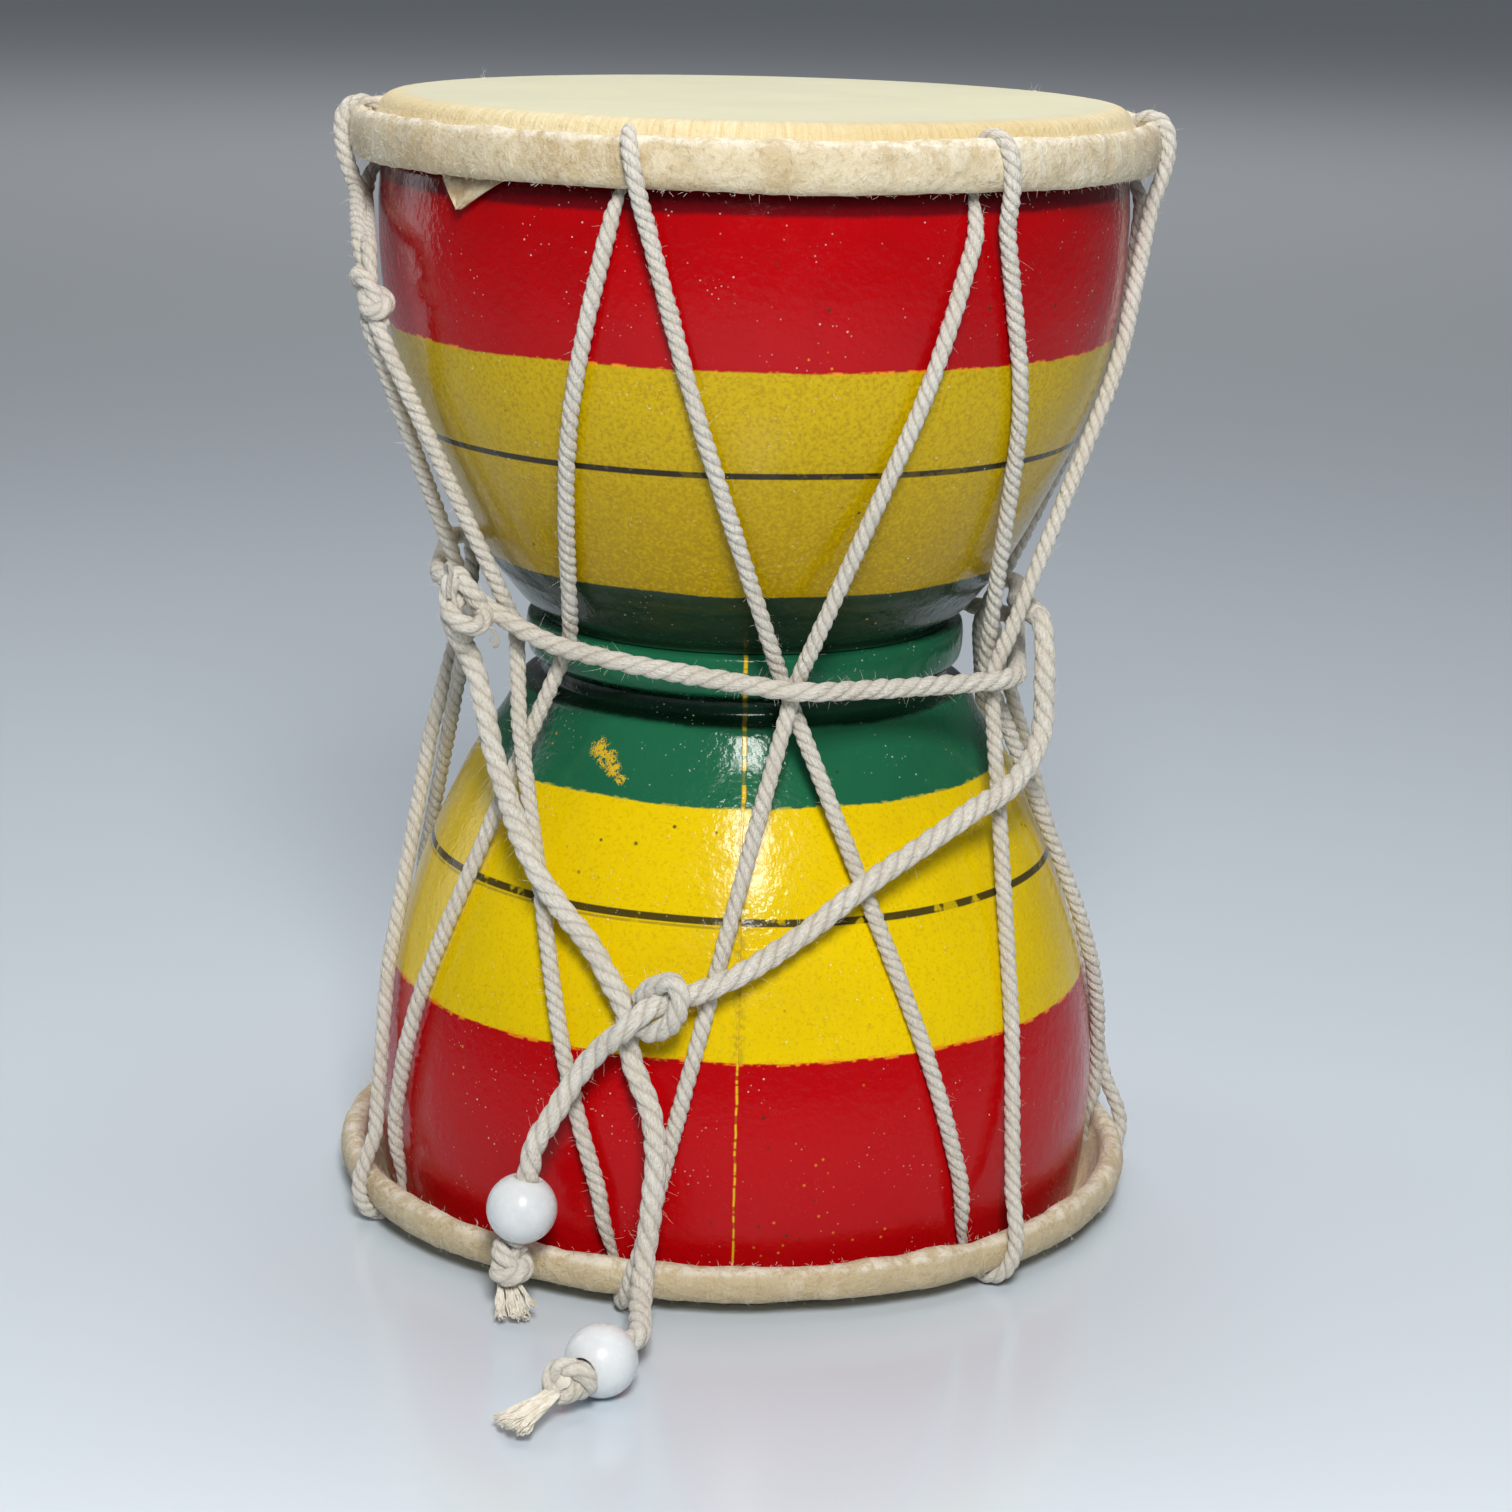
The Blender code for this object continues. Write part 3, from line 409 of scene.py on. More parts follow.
# ------------------------------------------------------------------ turned pieces
def lathe(name, profile, steps, mat, bend=None, sharp=50):
    """A closed (radius, z) profile in mm turned about Z; bend(azimuth, radius, z) may move each point."""
    verts, faces, rows = [], [], []
    for r, z in profile:
        if r < 1e-6:
            rows.append([len(verts)] * steps)
            verts.append((0.0, 0.0, z * MM))
            continue
        row = []
        for k in range(steps):
            a = 2 * math.pi * k / steps
            rr, zz = bend(a, r, z) if bend else (r, z)
            row.append(len(verts))
            verts.append((rr * math.sin(a) * MM, -rr * math.cos(a) * MM, zz * MM))
        rows.append(row)
    pairs = list(zip(rows, rows[1:]))
    if profile[0][0] > 1e-6 or profile[-1][0] > 1e-6:
        pairs.append((rows[-1], rows[0]))
    for a, b in pairs:
        for k in range(steps):
            m = (k + 1) % steps
            face = []
            for v in (a[k], a[m], b[m], b[k]):
                if v not in face:
                    face.append(v)
            if len(face) > 2:
                faces.append(face)
    obj = mesh_object(name, verts, faces, mat)
    bm = bmesh.new()
    bm.from_mesh(obj.data)
    bmesh.ops.recalc_face_normals(bm, faces=bm.faces)
    bm.to_mesh(obj.data)
    bm.free()
    obj.data.shade_smooth()
    obj.data.set_sharp_from_angle(angle=math.radians(sharp))
    return obj


OUTER = [(1.0, 63.0), (1.6, 65.6), (3.0, 66.4), (6.0, 66.8), (14.0, 67.5), (24.0, 67.8), (34.0, 67.0),
         (44.0, 65.2), (54.0, 62.3), (65.0, 58.4), (75.0, 54.0), (80.0, 51.6), (84.2, 49.2), (88.3, 46.4),
         (91.5, 44.3), (94.5, 42.8), (96.4, 41.8), (97.2, 40.8), (97.8, 38.8), (98.6, 37.6), (100.8, 37.4),
         (101.6, 38.6), (102.4, 39.9), (104.0, 40.4), (107.0, 40.5), (108.8, 40.3), (109.3, 39.8),
         (109.6, 38.0), (110.6, 38.4), (112.4, 41.0), (114.5, 42.9), (116.5, 44.5), (118.2, 45.9),
         (120.0, 47.2), (124.0, 49.8), (134.0, 55.0), (145.0, 60.2), (154.0, 63.6), (163.0, 65.7),
         (173.0, 67.0), (184.0, 67.3), (188.0, 67.1), (190.6, 66.8), (192.4, 66.1), (199.0, 65.6), (200.9, 64.9),
         (202.0, 62.5)]
INNER = [(202.0, 56.0), (190.0, 60.4), (173.0, 61.0), (154.0, 57.4), (134.0, 48.8), (120.0, 39.5),
         (110.0, 30.0), (102.5, 28.0), (95.0, 31.5), (84.0, 42.5), (65.0, 52.0), (44.0, 59.2),
         (24.0, 61.8), (10.0, 60.8), (1.0, 57.0)]
JOINT_LOW, JOINT_HIGH = 109.3, 109.6


def rounded(points, cuts=4):
    """The profile with more points, on a Catmull-Rom curve that doesn't overshoot."""
    p = [np.array(q, float) for q in points]
    out = []
    for i in range(len(p) - 1):
        a, b = p[i], p[i + 1]
        before = p[i - 1] if i else a
        after = p[i + 2] if i + 2 < len(p) else b
        ta, tb = (b - before) / 2, (after - a) / 2
        size = np.linalg.norm(b - a)
        for t in (ta, tb):
            length = np.linalg.norm(t)
            if length > size:
                t *= size / length
        for u in np.linspace(0, 1, cuts, endpoint=False):
            out.append((2 * u**3 - 3 * u**2 + 1) * a + (u**3 - 2 * u**2 + u) * ta + (-2 * u**3 + 3 * u**2) * b
                       + (u**3 - u**2) * tb)
    out.append(p[-1])
    return out


def inner_radius(z):
    rows = sorted(INNER)
    return float(np.interp(z, [q[0] for q in rows], [q[1] for q in rows]))


def hand_turned(a, r, z):
    """The bowls aren't quite round, and the tool left faint rings."""
    if r < 35:
        return r, z
    swell = 0.10 * math.sin(2 * a + 0.7) + 0.06 * math.sin(3 * a + 0.02 * z) + 0.03 * math.sin(0.9 * z + 0.4 * math.sin(a))
    return r + swell - 0.08, z


high = rounded([q for q in reversed(OUTER) if q[0] >= JOINT_HIGH], 4)
low = rounded([q for q in reversed(OUTER) if q[0] <= JOINT_LOW], 4)
upper_profile = ([(r, z) for z, r in high] + [(inner_radius(JOINT_HIGH), JOINT_HIGH)]
                 + [(r, z) for z, r in reversed(INNER) if z > JOINT_HIGH])
lower_profile = ([(r, z) for z, r in low] + [(r, z) for z, r in reversed(INNER) if z < JOINT_LOW]
                 + [(inner_radius(JOINT_LOW), JOINT_LOW)])
shell_upper = lathe("painted_shell_upper", upper_profile, 192, PAINT, hand_turned)
belongs(shell_upper, "drum", "shell_paint", "shell_upper")
shell_lower = lathe("painted_shell_lower", lower_profile, 192, PAINT, hand_turned)
belongs(shell_lower, "drum", "shell_paint", "shell_lower")


# ------------------------------------------------------------------ skins
def oval(r, z, a, b, degrees):
    t = math.radians(degrees)
    return (r + a * math.cos(t), z + b * math.sin(t))


def wrinkled(middle_r, middle_z, top, strength):
    """The rolled edge: lumps where the skin bunches over the hoop, ribs on the lip, a slack lower edge."""
    def bend(a, r, z):
        edge = min(1.0, max(0.0, (r - 62.5) / 4.0))
        if edge == 0.0:
            return r, z
        x, y = math.sin(a), math.cos(a)
        broad = noise.noise(Vector((x * 3.1, y * 3.1, z * 0.02 + 3.0)))
        lump = noise.noise(Vector((x * 9.0, y * 9.0, z * 0.09 + 7.0)))
        small = noise.noise(Vector((x * 30.0, y * 30.0, z * 0.30 + 11.0)))
        rib = noise.noise(Vector((x * 55.0, y * 55.0, z * 0.06)))
        on_roll = min(1.0, max(0.0, (r - 67.2) / 1.6))
        push = strength * (0.34 * broad + 0.44 * lump + 0.20 * small) * on_roll + 0.20 * rib * edge * (1 - 0.6 * on_roll) - 0.12
        out_r, out_z = (r - middle_r), (z - middle_z)
        size = max(0.5, math.hypot(out_r, out_z))
        rr = r + push * out_r / size
        zz = z + push * out_z / size
        hang = 0.75 * broad + 0.40 * lump
        if (z < middle_z) if top else (z > middle_z):
            zz += (hang if top else 0.5 * hang) * on_roll * abs(out_z) / 4.0
        return rr, min(max(zz, 0.0), 203.0)
    return bend


TOP_A = [oval(70.15, 196.2, 2.25, 4.45, d) for d in (146, 132, 118, 104, 90, 76, 62, 48, 34, 20, 6, -8, -22, -36, -50, -64, -78, -92, -106, -120, -140)]
top_profile = ([(0, 203.0), (20, 203.0), (40, 203.0), (55, 203.0), (61.0, 203.0), (63.2, 202.95), (64.4, 202.8), (65.3, 202.45),
                (66.0, 201.95), (66.4, 201.4), (66.75, 200.8), (67.1, 200.1), (67.6, 199.5)]
               + TOP_A
               + [(67.2, 194.6), (66.6, 197.5), (66.3, 200.2), (65.4, 201.4), (62.5, 202.2), (40, 202.3), (0, 202.3)])
top_skin = lathe("top_skin_head", top_profile, 420, SKIN, wrinkled(70.15, 196.2, True, 1.0), sharp=80)
belongs(top_skin, "drum", "skin", "top_head_skin", "top_hoop")
LOW_A = [oval(72.4, 6.1, 2.6, 3.4, d) for d in (160, 146, 132, 118, 104, 90, 76, 62, 48, 34, 20, 6, -8, -22, -36, -50, -64, -78, -92, -106, -125)]
low_profile = ([(0, 0.7), (30, 0.7), (60, 0.7), (64.5, 0.8), (66.2, 1.3), (67.3, 2.5), (68.0, 3.9), (69.4, 5.2)]
               + LOW_A + [(69.6, 2.7), (68.4, 1.5), (67.0, 0.75), (65.6, 0.3), (63.5, 0.0), (30, 0.0), (0, 0.0)])
low_skin = lathe("bottom_skin_head", low_profile, 420, SKIN, wrinkled(72.4, 6.1, False, 0.8), sharp=80)
belongs(low_skin, "drum", "skin", "bottom_head_skin", "bottom_hoop")


# ------------------------------------------------------------------ ropes
SIDES = 21
LOBE = np.radians([-60, -50, -33, -11, 11, 33, 50])
COLUMN = np.concatenate([LOBE + math.radians(120 * k) for k in range(3)])
PROFILE = np.tile(0.30 * np.cos(LOBE) + np.sqrt(0.70 ** 2 - (0.30 * np.sin(LOBE)) ** 2), 3)
# how far each column lies down in the groove between strands, for the painted shade there
DEPTH = np.tile([1.0, 0.55, 0.12, 0.0, 0.0, 0.12, 0.55], 3)


def even_path(points, spacing):
    p = np.array(points, float)
    run = np.r_[0, np.cumsum(np.linalg.norm(np.diff(p[:, :3], axis=0), axis=1))]
    count = max(4, int(run[-1] / spacing))
    at = np.linspace(0, run[-1], count)
    return np.stack([np.interp(at, run, p[:, k]) for k in range(p.shape[1])], 1), at


def softened(p, times):
    p = p.copy()
    for _ in range(times):
        p[1:-1] = (p[:-2] + 2 * p[1:-1] + p[2:]) / 4
    return p


def rope(name, points, radius, scale=None, pitch=11.0, spacing=0.6, soften=4, phase=0.0, mat=None, seed=1):
    """A laid rope of three strands, points in mm: its mesh follows the strands, so the grooves are cut clean."""
    rows = [list(p) + [1.0 if scale is None else scale[i]] for i, p in enumerate(points)]
    path, along = even_path(rows, spacing)
    path = softened(path, soften)
    centre, size = path[:, :3], path[:, 3]
    tangent = unit_rows(np.gradient(centre, axis=0))
    normal = np.cross(tangent[0], [0.3, 0.2, 0.93])
    normal /= np.linalg.norm(normal)
    count = len(centre)
    normals = np.empty_like(centre)
    for i in range(count):
        normal = normal - tangent[i] * np.dot(normal, tangent[i])
        normal /= np.linalg.norm(normal)
        normals[i] = normal
    others = np.cross(tangent, normals)
    gen = np.random.default_rng(seed)
    knots = gen.normal(0, 1, count // 6 + 8)
    uneven = np.interp(np.arange(count) / 6.0, np.arange(len(knots)), knots)
    slip = np.cumsum(uneven) * spacing * 0.10
    turn = phase - 2 * math.pi * (along + slip) / pitch
    theta = COLUMN[None] + turn[:, None]
    body = radius * size * (1 + 0.022 * uneven)
    per_strand = np.repeat(gen.normal(0, 0.016, (len(knots), 3)), 7, axis=1)
    strand_size = 1 + np.stack([np.interp(np.arange(count) / 6.0, np.arange(len(knots)), per_strand[:, k]) for k in range(SIDES)], 1)
    r = body[:, None] * PROFILE[None] * strand_size
    ring = centre[:, None] + r[..., None] * (np.cos(theta)[..., None] * normals[:, None] + np.sin(theta)[..., None] * others[:, None])
    verts = ring.reshape(-1, 3) * MM
    k = np.arange(SIDES)
    m = (k + 1) % SIDES
    base = (np.arange(count - 1) * SIDES)[:, None]
    quads = np.stack([base + k, base + m, base + SIDES + m, base + SIDES + k], -1).reshape(-1, 4)
    faces = quads.tolist() + [k[::-1].tolist(), ((count - 1) * SIDES + k).tolist()]
    obj = mesh_object(name, verts, faces, mat or ROPE)
    mesh = obj.data
    u0 = theta / (2 * math.pi)
    u1 = np.concatenate([u0[:, 1:], u0[:, :1] + 1], 1)
    v = np.repeat(along[:, None], SIDES, 1)
    lay = np.stack([np.stack([u0[:-1], v[:-1]], -1), np.stack([u1[:-1], v[:-1]], -1),
                    np.stack([u1[1:], v[1:]], -1), np.stack([u0[1:], v[1:]], -1)], 2).reshape(-1, 2)
    depth = np.broadcast_to(DEPTH, (count, SIDES))
    d1 = np.roll(depth, -1, axis=1)
    zero = np.zeros_like(depth)
    groove = np.stack([np.stack([depth[:-1], zero[:-1]], -1), np.stack([d1[:-1], zero[:-1]], -1),
                       np.stack([d1[1:], zero[1:]], -1), np.stack([depth[1:], zero[1:]], -1)], 2).reshape(-1, 2)
    for layer, values in (("lay", lay), ("groove", groove)):
        full = np.zeros((len(mesh.loops), 2))
        full[:len(values)] = values
        mesh.uv_layers.new(name=layer).data.foreach_set("uv", full.reshape(-1))
    return obj, centre


def prisms(name, paths, radii, mat, sides=3):
    """Many thin closed threads in one mesh: paths (n, m, 3) in mm, radii (n, m)."""
    p = np.asarray(paths, float)
    n, m, _ = p.shape
    t = unit_rows(np.gradient(p, axis=1))
    ref = np.where(np.abs(t[:, :1, 2:3]) > 0.8, np.array([1.0, 0, 0]), np.array([0, 0, 1.0]))
    a = unit_rows(np.cross(t, np.broadcast_to(ref, t.shape)))
    b = np.cross(t, a)
    ang = 2 * math.pi * np.arange(sides) / sides
    ring = p[:, :, None] + np.asarray(radii)[:, :, None, None] * (np.cos(ang)[:, None] * a[:, :, None] + np.sin(ang)[:, None] * b[:, :, None])
    k = np.arange(sides)
    k2 = (k + 1) % sides
    first = (np.arange(n) * m * sides)[:, None, None]
    step = (np.arange(m - 1) * sides)[None, :, None]
    base = first + step
    quads = np.stack([base + k, base + k2, base + sides + k2, base + sides + k], -1).reshape(-1, 4)
    caps = [(i * m * sides + k[::-1]).tolist() for i in range(n)] + [(i * m * sides + (m - 1) * sides + k).tolist() for i in range(n)]
    return mesh_object(name, ring.reshape(-1, 3) * MM, quads.tolist() + caps, mat, smooth=sides > 3)


def fuzz(name, centres, radius, per_mm, seed, body, reach=(0.5, 1.9), thick=0.030, inward=-0.25):
    """Stray fibres that stand off the rope; none of them points at the drum."""
    gen = np.random.default_rng(seed)
    paths = []
    for centre in centres:
        t = unit_rows(np.gradient(centre, axis=0))
        length = np.linalg.norm(np.diff(centre, axis=0), axis=1).sum()
        n = int(length * per_mm)
        at = gen.integers(1, len(centre) - 1, n)
        away = unit_rows(gen.normal(size=(n, 3)))
        tt = t[at]
        nn = unit_rows(away - tt * (away * tt).sum(1)[:, None])
        c = centre[at]
        radial = c.copy()
        radial[:, 2] = 0
        keep = (nn * unit_rows(radial)).sum(1) > inward
        c, nn, tt = c[keep], nn[keep], tt[keep]
        n = len(c)
        size = gen.uniform(*reach, n)[:, None]
        lean = unit_rows(nn * gen.uniform(0.35, 1.0, (n, 1)) + tt * gen.normal(0, 0.7, (n, 1)) + 0.35 * gen.normal(size=(n, 3)))
        curl = gen.normal(0, 0.55, (n, 3))
        start = c + nn * radius * 0.86
        p = np.stack([start + lean * size * u + curl * size * u * u for u in (0.0, 0.35, 0.7, 1.0)], 1)
        p[..., 2] = np.maximum(p[..., 2], 0.15)
        paths.append(p)
    paths = np.concatenate(paths)
    radii = thick * np.broadcast_to(np.array([1.0, 0.9, 0.75, 0.45]), paths.shape[:2])
    obj = prisms(name, paths, radii, YARN)
    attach(obj, body)
    return obj


# the shell's outside, offset outwards by a cord's radius
OUT_Z = np.array([z for z, r in OUTER])
OUT_R = np.array([r for z, r in OUTER])
FINE_Z = np.linspace(OUT_Z[0], OUT_Z[-1], 500)
FINE_R = np.interp(FINE_Z, OUT_Z, OUT_R)
LACE_R, TIE_R, GAP, HEIGHT = 1.55, 2.0, 0.35, 203.0


def clear_radius(z, off):
    near = np.abs(FINE_Z - z) < off
    if not near.any():
        return 0.0
    return float((FINE_R[near] + np.sqrt(off * off - (FINE_Z[near] - z) ** 2)).max())


def distance_to(path, points):
    run = path[1:] - path[:-1]
    size = np.maximum((run * run).sum(1), 1e-9)
    gap = points[:, None] - path[None, :-1]
    t = np.clip((gap * run[None]).sum(2) / size[None], 0, 1)
    return np.linalg.norm(gap - t[..., None] * run[None], axis=2).min(1)


TABLE_Z = np.linspace(0, HEIGHT, 1200)
TABLE_R = {}


def taut(start, end, off, over=None, count=25, rounds=500):
    if off not in TABLE_R:
        TABLE_R[off] = np.array([clear_radius(z, off) for z in TABLE_Z])
    p = np.linspace(start, end, count)
    for _ in range(rounds):
        p[1:-1] = 0.5 * (p[:-2] + p[2:])
        r = np.hypot(p[1:-1, 0], p[1:-1, 1])
        grow = np.maximum(1.0, np.interp(p[1:-1, 2], TABLE_Z, TABLE_R[off]) / r)
        if over is not None:
            short = np.maximum(0.0, 2 * LACE_R + 0.45 - distance_to(over, p[1:-1]))
            grow = np.maximum(grow, 1.0 + short / r)
        p[1:-1, :2] *= grow[:, None]
    return p


TOP_TURNS = [(-82.0, 1.7), (-16.8, 3.6), (33.5, 2.6), (86.8, -2.6), (131.0, 2.6), (178.0, 2.4), (228.0, 2.2)]
BOTTOM_TURNS = [(-63.2, -1.4), (-15.1, 5.0), (39.1, 5.0), (95.5, 3.0), (139.0, 2.6), (190.5, 2.4), (236.7, 1.7)]
TOP_LOOP = [(69.45, 184.5, 1.0), (68.9, 187.6, 0.9), (67.5, 190.2, 0.68), (66.85, 192.6, 0.5),
            (66.85, 198.6, 0.5), (67.3, 200.5, 0.6), (68.9, 201.3, 0.72), (70.9, 201.25, 0.86),
            (72.55, 200.2, 0.96), (73.4, 198.3, 1.0), (73.5, 195.8, 1.0), (73.1, 192.6, 1.0),
            (72.2, 189.6, 1.0), (71.0, 186.4, 1.0)]
BOTTOM_LOOP = [(69.75, 20.0, 1.0), (69.6, 15.0, 0.95), (68.7, 11.0, 0.78), (68.25, 8.4, 0.62),
               (68.25, 4.4, 0.62), (69.0, 2.6, 0.75), (70.6, 1.95, 0.95), (72.6, 1.78, 1.0),
               (74.4, 2.4, 1.0), (75.7, 4.1, 1.0), (76.1, 6.4, 1.0), (75.7, 9.2, 1.0),
               (74.4, 12.4, 1.0), (72.6, 16.4, 1.0)]
SCALES_T = [s for _, _, s in TOP_LOOP]
SCALES_B = [s for _, _, s in BOTTOM_LOOP]
BAND_Z = 107.5
WAIST = {(1, 2): (8.1, 47.2), (1, 0): (-42.2, 45.2), (0, 1): (-55.5, 48.9), (2, 1): (10.0, 50.9),
         (2, 3): (64.4, 47.9), (3, 2): (58.7, 51.5), (6, 0): (-105.0, 53.3), (0, 6): (-74.0, 51.3)}
OVER = [(0, 1), (2, 1), (3, 2), (4, 3), (5, 4), (6, 5), (6, 0)]


def loop_points(loop, az, half=1.7):
    a = math.radians(az)
    out = np.array([math.sin(a), -math.cos(a), 0.0])
    side = np.array([math.cos(a), math.sin(a), 0.0])
    n = len(loop) - 1
    return [out * r + side * half * (2 * i / n - 1) + np.array([0, 0, z]) for i, (r, z, _) in enumerate(loop)]


def band_height(az):
    return BAND_Z + 0.6 - 4.2 * math.sin(math.radians(az + 8))


def strand(key, top, bottom, over=None):
    if key in WAIST:
        az, r = WAIST[key]
    else:
        t = (BAND_Z - bottom[2]) / (top[2] - bottom[2])
        mid = bottom + t * (top - bottom)
        az, r = math.degrees(math.atan2(mid[0], -mid[1])), 51.7 if key in OVER else 47.9
    hold = polar(az, r, band_height(az))
    off = LACE_R + GAP
    above = taut(top, hold, off, over)
    below = taut(hold, bottom, off, over)
    path = np.vstack([above, below[1:]])
    at = len(above) - 1
    path[at] = (path[at - 1] + 6 * path[at] + path[at + 1]) / 8
    return path


def passed(loop, scales, half):
    return (loop, scales) if half > 0 else (loop[::-1], scales[::-1])


top_loops = [loop_points(TOP_LOOP, az, half) for az, half in TOP_TURNS]
bottom_loops = [loop_points(BOTTOM_LOOP, az, half) for az, half in BOTTOM_TURNS]
KNOT = np.array([-65.1, -32.8, 170.0])
KNOT_TOP = KNOT + np.array([-1.6, 3.6, 7.6])
KNOT_LOW = KNOT + np.array([1.2, -0.4, -7.6])
order, ends_of = [], {}
LEAVES = {"down": KNOT_LOW + np.array([1.0, -1.5, 0.0]), "up": KNOT_LOW + np.array([-1.2, 1.5, 0.3])}
top_pass = [passed(p, SCALES_T, h) for p, (_, h) in zip(top_loops, TOP_TURNS)]
bottom_pass = [passed(p, SCALES_B, h) for p, (_, h) in zip(bottom_loops, BOTTOM_TURNS)]
for n in range(0, 14, 2):
    i, j, k = n % 7, (n + 1) % 7, (n + 2) % 7
    order += [(i, j), (k, j)]
    ends_of[(i, j)] = (LEAVES["down"] if i == 0 else top_pass[i][0][-1], bottom_pass[j][0][0])
    ends_of[(k, j)] = (LEAVES["up"] if k == 0 else top_pass[k][0][0], bottom_pass[j][0][-1])
strands = {}
for key in order:
    if key not in OVER:
        strands[key] = strand(key, *[np.array(q, float) for q in ends_of[key]])
for key in OVER:
    strands[key] = strand(key, *[np.array(q, float) for q in ends_of[key]], over=strands[(key[1], key[0])])
points, scales = [], []


def add(path, scale):
    for p, s in zip(path, scale):
        if points and np.linalg.norm(points[-1] - p) < 0.8:
            continue
        points.append(np.array(p, float))
        scales.append(s)


for n, (i, j) in enumerate(order):
    path = strands[(i, j)]
    if n % 2 == 0:
        add(path, [1.0] * len(path))
        add(*bottom_pass[j])
    else:
        add(path[::-1], [1.0] * len(path))
        if i != 0:
            add(*top_pass[i])
lace_from, lace_to = np.array(points[:-1]), np.array(points[1:])
into_knot = [KNOT + np.array([0.5, -0.8, -2.0]), KNOT + np.array([0.9, -1.3, -4.6])]
out_of_knot = [KNOT + np.array([-0.9, 1.2, -4.6]), KNOT + np.array([-0.5, 0.8, -2.0])]
lacing, lacing_line = rope("lacing_rope", into_knot + points + out_of_knot, 1.5, [0.9, 1.0] + scales + [1.0, 0.9],
                           pitch=6.8, spacing=0.66, soften=3, seed=2)
belongs(lacing, "drum", "cotton_rope", "lacing_cord")
end_points = ([KNOT + np.array([-0.2, -0.4, 2.0]), KNOT_TOP + np.array([0.9, -1.4, 0.0])] + top_loops[0]
              + [KNOT_TOP + np.array([-1.0, 1.5, 0.6]), KNOT + np.array([-0.8, 1.0, 2.0])])
end_loop, end_line = rope("lacing_loop_rope", end_points, LACE_R, [0.9, 1.0] + SCALES_T + [1.0, 0.9], pitch=6.8, soften=3, seed=3)
belongs(end_loop, "drum", "cotton_rope", "lacing_end_loop")


# ------------------------------------------------------------------ knots
def overhand(rounds=700, space=0.25):
    """An overhand knot in a cord of diameter 1, drawn tight along y, its middle at the origin."""
    t = np.linspace(0.25, 2 * math.pi - 0.25, 200)
    core = np.stack([(2 + np.cos(3 * t)) * np.cos(2 * t) - 2, (2 + np.cos(3 * t)) * np.sin(2 * t), np.sin(3 * t)], 1)
    p = np.vstack([[(0.0, 6, 0.0), (1.5, 4, 0.3), (1.5, 2.2, 0.6)], core, [(1.5, -2.2, -0.6), (1.5, -4, -0.3), (0.0, -6, 0.0)]])
    for step in range(rounds):
        if step % 6 == 0:
            run = np.r_[0, np.cumsum(np.linalg.norm(np.diff(p, axis=0), axis=1))]
            at = np.linspace(0, run[-1], int(run[-1] / space) + 1)
            p = np.stack([np.interp(at, run, p[:, k]) for k in range(3)], 1)
            i, j = np.triu_indices(len(p), int(1.6 / space))
        p[1:-1] += 0.35 * (p[:-2] - 2 * p[1:-1] + p[2:])
        for _ in range(3):
            d = p[j] - p[i]
            size = np.linalg.norm(d, axis=1)
            hit = size < 1.0
            push = (0.5 * (1.0 - size[hit]) / np.maximum(size[hit], 1e-6))[:, None] * d[hit]
            move, count = np.zeros_like(p), np.zeros(len(p))
            np.add.at(move, i[hit], -push)
            np.add.at(move, j[hit], push)
            np.add.at(count, i[hit], 1)
            np.add.at(count, j[hit], 1)
            move /= np.maximum(1, 0.5 * count)[:, None]
            move[0] = move[-1] = 0
            p += move
    # bring the ends, which come in aslant, in line with the knot's middle
    inside = np.abs(p[:, 1]) < 1.6
    middle = p[inside].mean(0)
    share = np.clip((3.2 - np.abs(p[:, 1])) / 1.6, 0, 1)[:, None]
    p[:, [0, 2]] -= middle[[0, 2]]
    p[:, [0, 2]] *= 1 - (1 - share) * np.clip(1.0, 0, 1)
    return p


TIGHT = overhand()


def placed_knot(name, centre, direction, across, radius, spacing, reach, squeeze=(1.0, 1.0, 1.0), seed=5, pitch=9.0, phase=0.0,
                short=0):
    """An overhand knot at centre; direction is where the cord leaves it, across turns it about that.
    short leaves out so many rows at the end that the cord leaves by."""
    d = unit(*direction)
    side = np.array(across, float) - d * np.dot(across, d)
    side /= np.linalg.norm(side)
    other = np.cross(d, side)
    p = TIGHT[np.abs(TIGHT[:, 1]) < reach] * spacing * np.array(squeeze)
    p = p[:len(p) - short]
    path = np.array(centre) + p[:, :1] * side - p[:, 1:2] * d + p[:, 2:] * other
    return rope(name, path, radius, spacing=0.35, soften=2, pitch=pitch, seed=seed, phase=phase)


lacing_knot, knot_line = placed_knot("lacing_knot_rope", KNOT + np.array([0, 0, 0.2]), KNOT_LOW - KNOT_TOP, (0.5, 0.85, 0.0), 1.5, 2.5, 1.7,
                                     (0.72, 1.50, 0.74), seed=7, pitch=7.5)
belongs(lacing_knot, "drum", "cotton_rope", "lacing_knot")

# ------------------------------------------------------------------ waist cord
lace = np.array(points)
LACE_FROM, LACE_TO = lace[:-1], lace[1:]


def clear_of_lacing(p):
    run = LACE_TO - LACE_FROM
    t = ((p - LACE_FROM) * run).sum(1) / np.maximum((run * run).sum(1), 1e-9)
    return float(np.linalg.norm(LACE_FROM + np.clip(t, 0, 1)[:, None] * run - p, axis=1).min())


def band_radius_at(az, z):
    r = 66.0
    while clear_of_lacing(polar(az, r - 0.15, z)) > LACE_R + 1.85 and r > 50.0:
        r -= 0.15
    return r


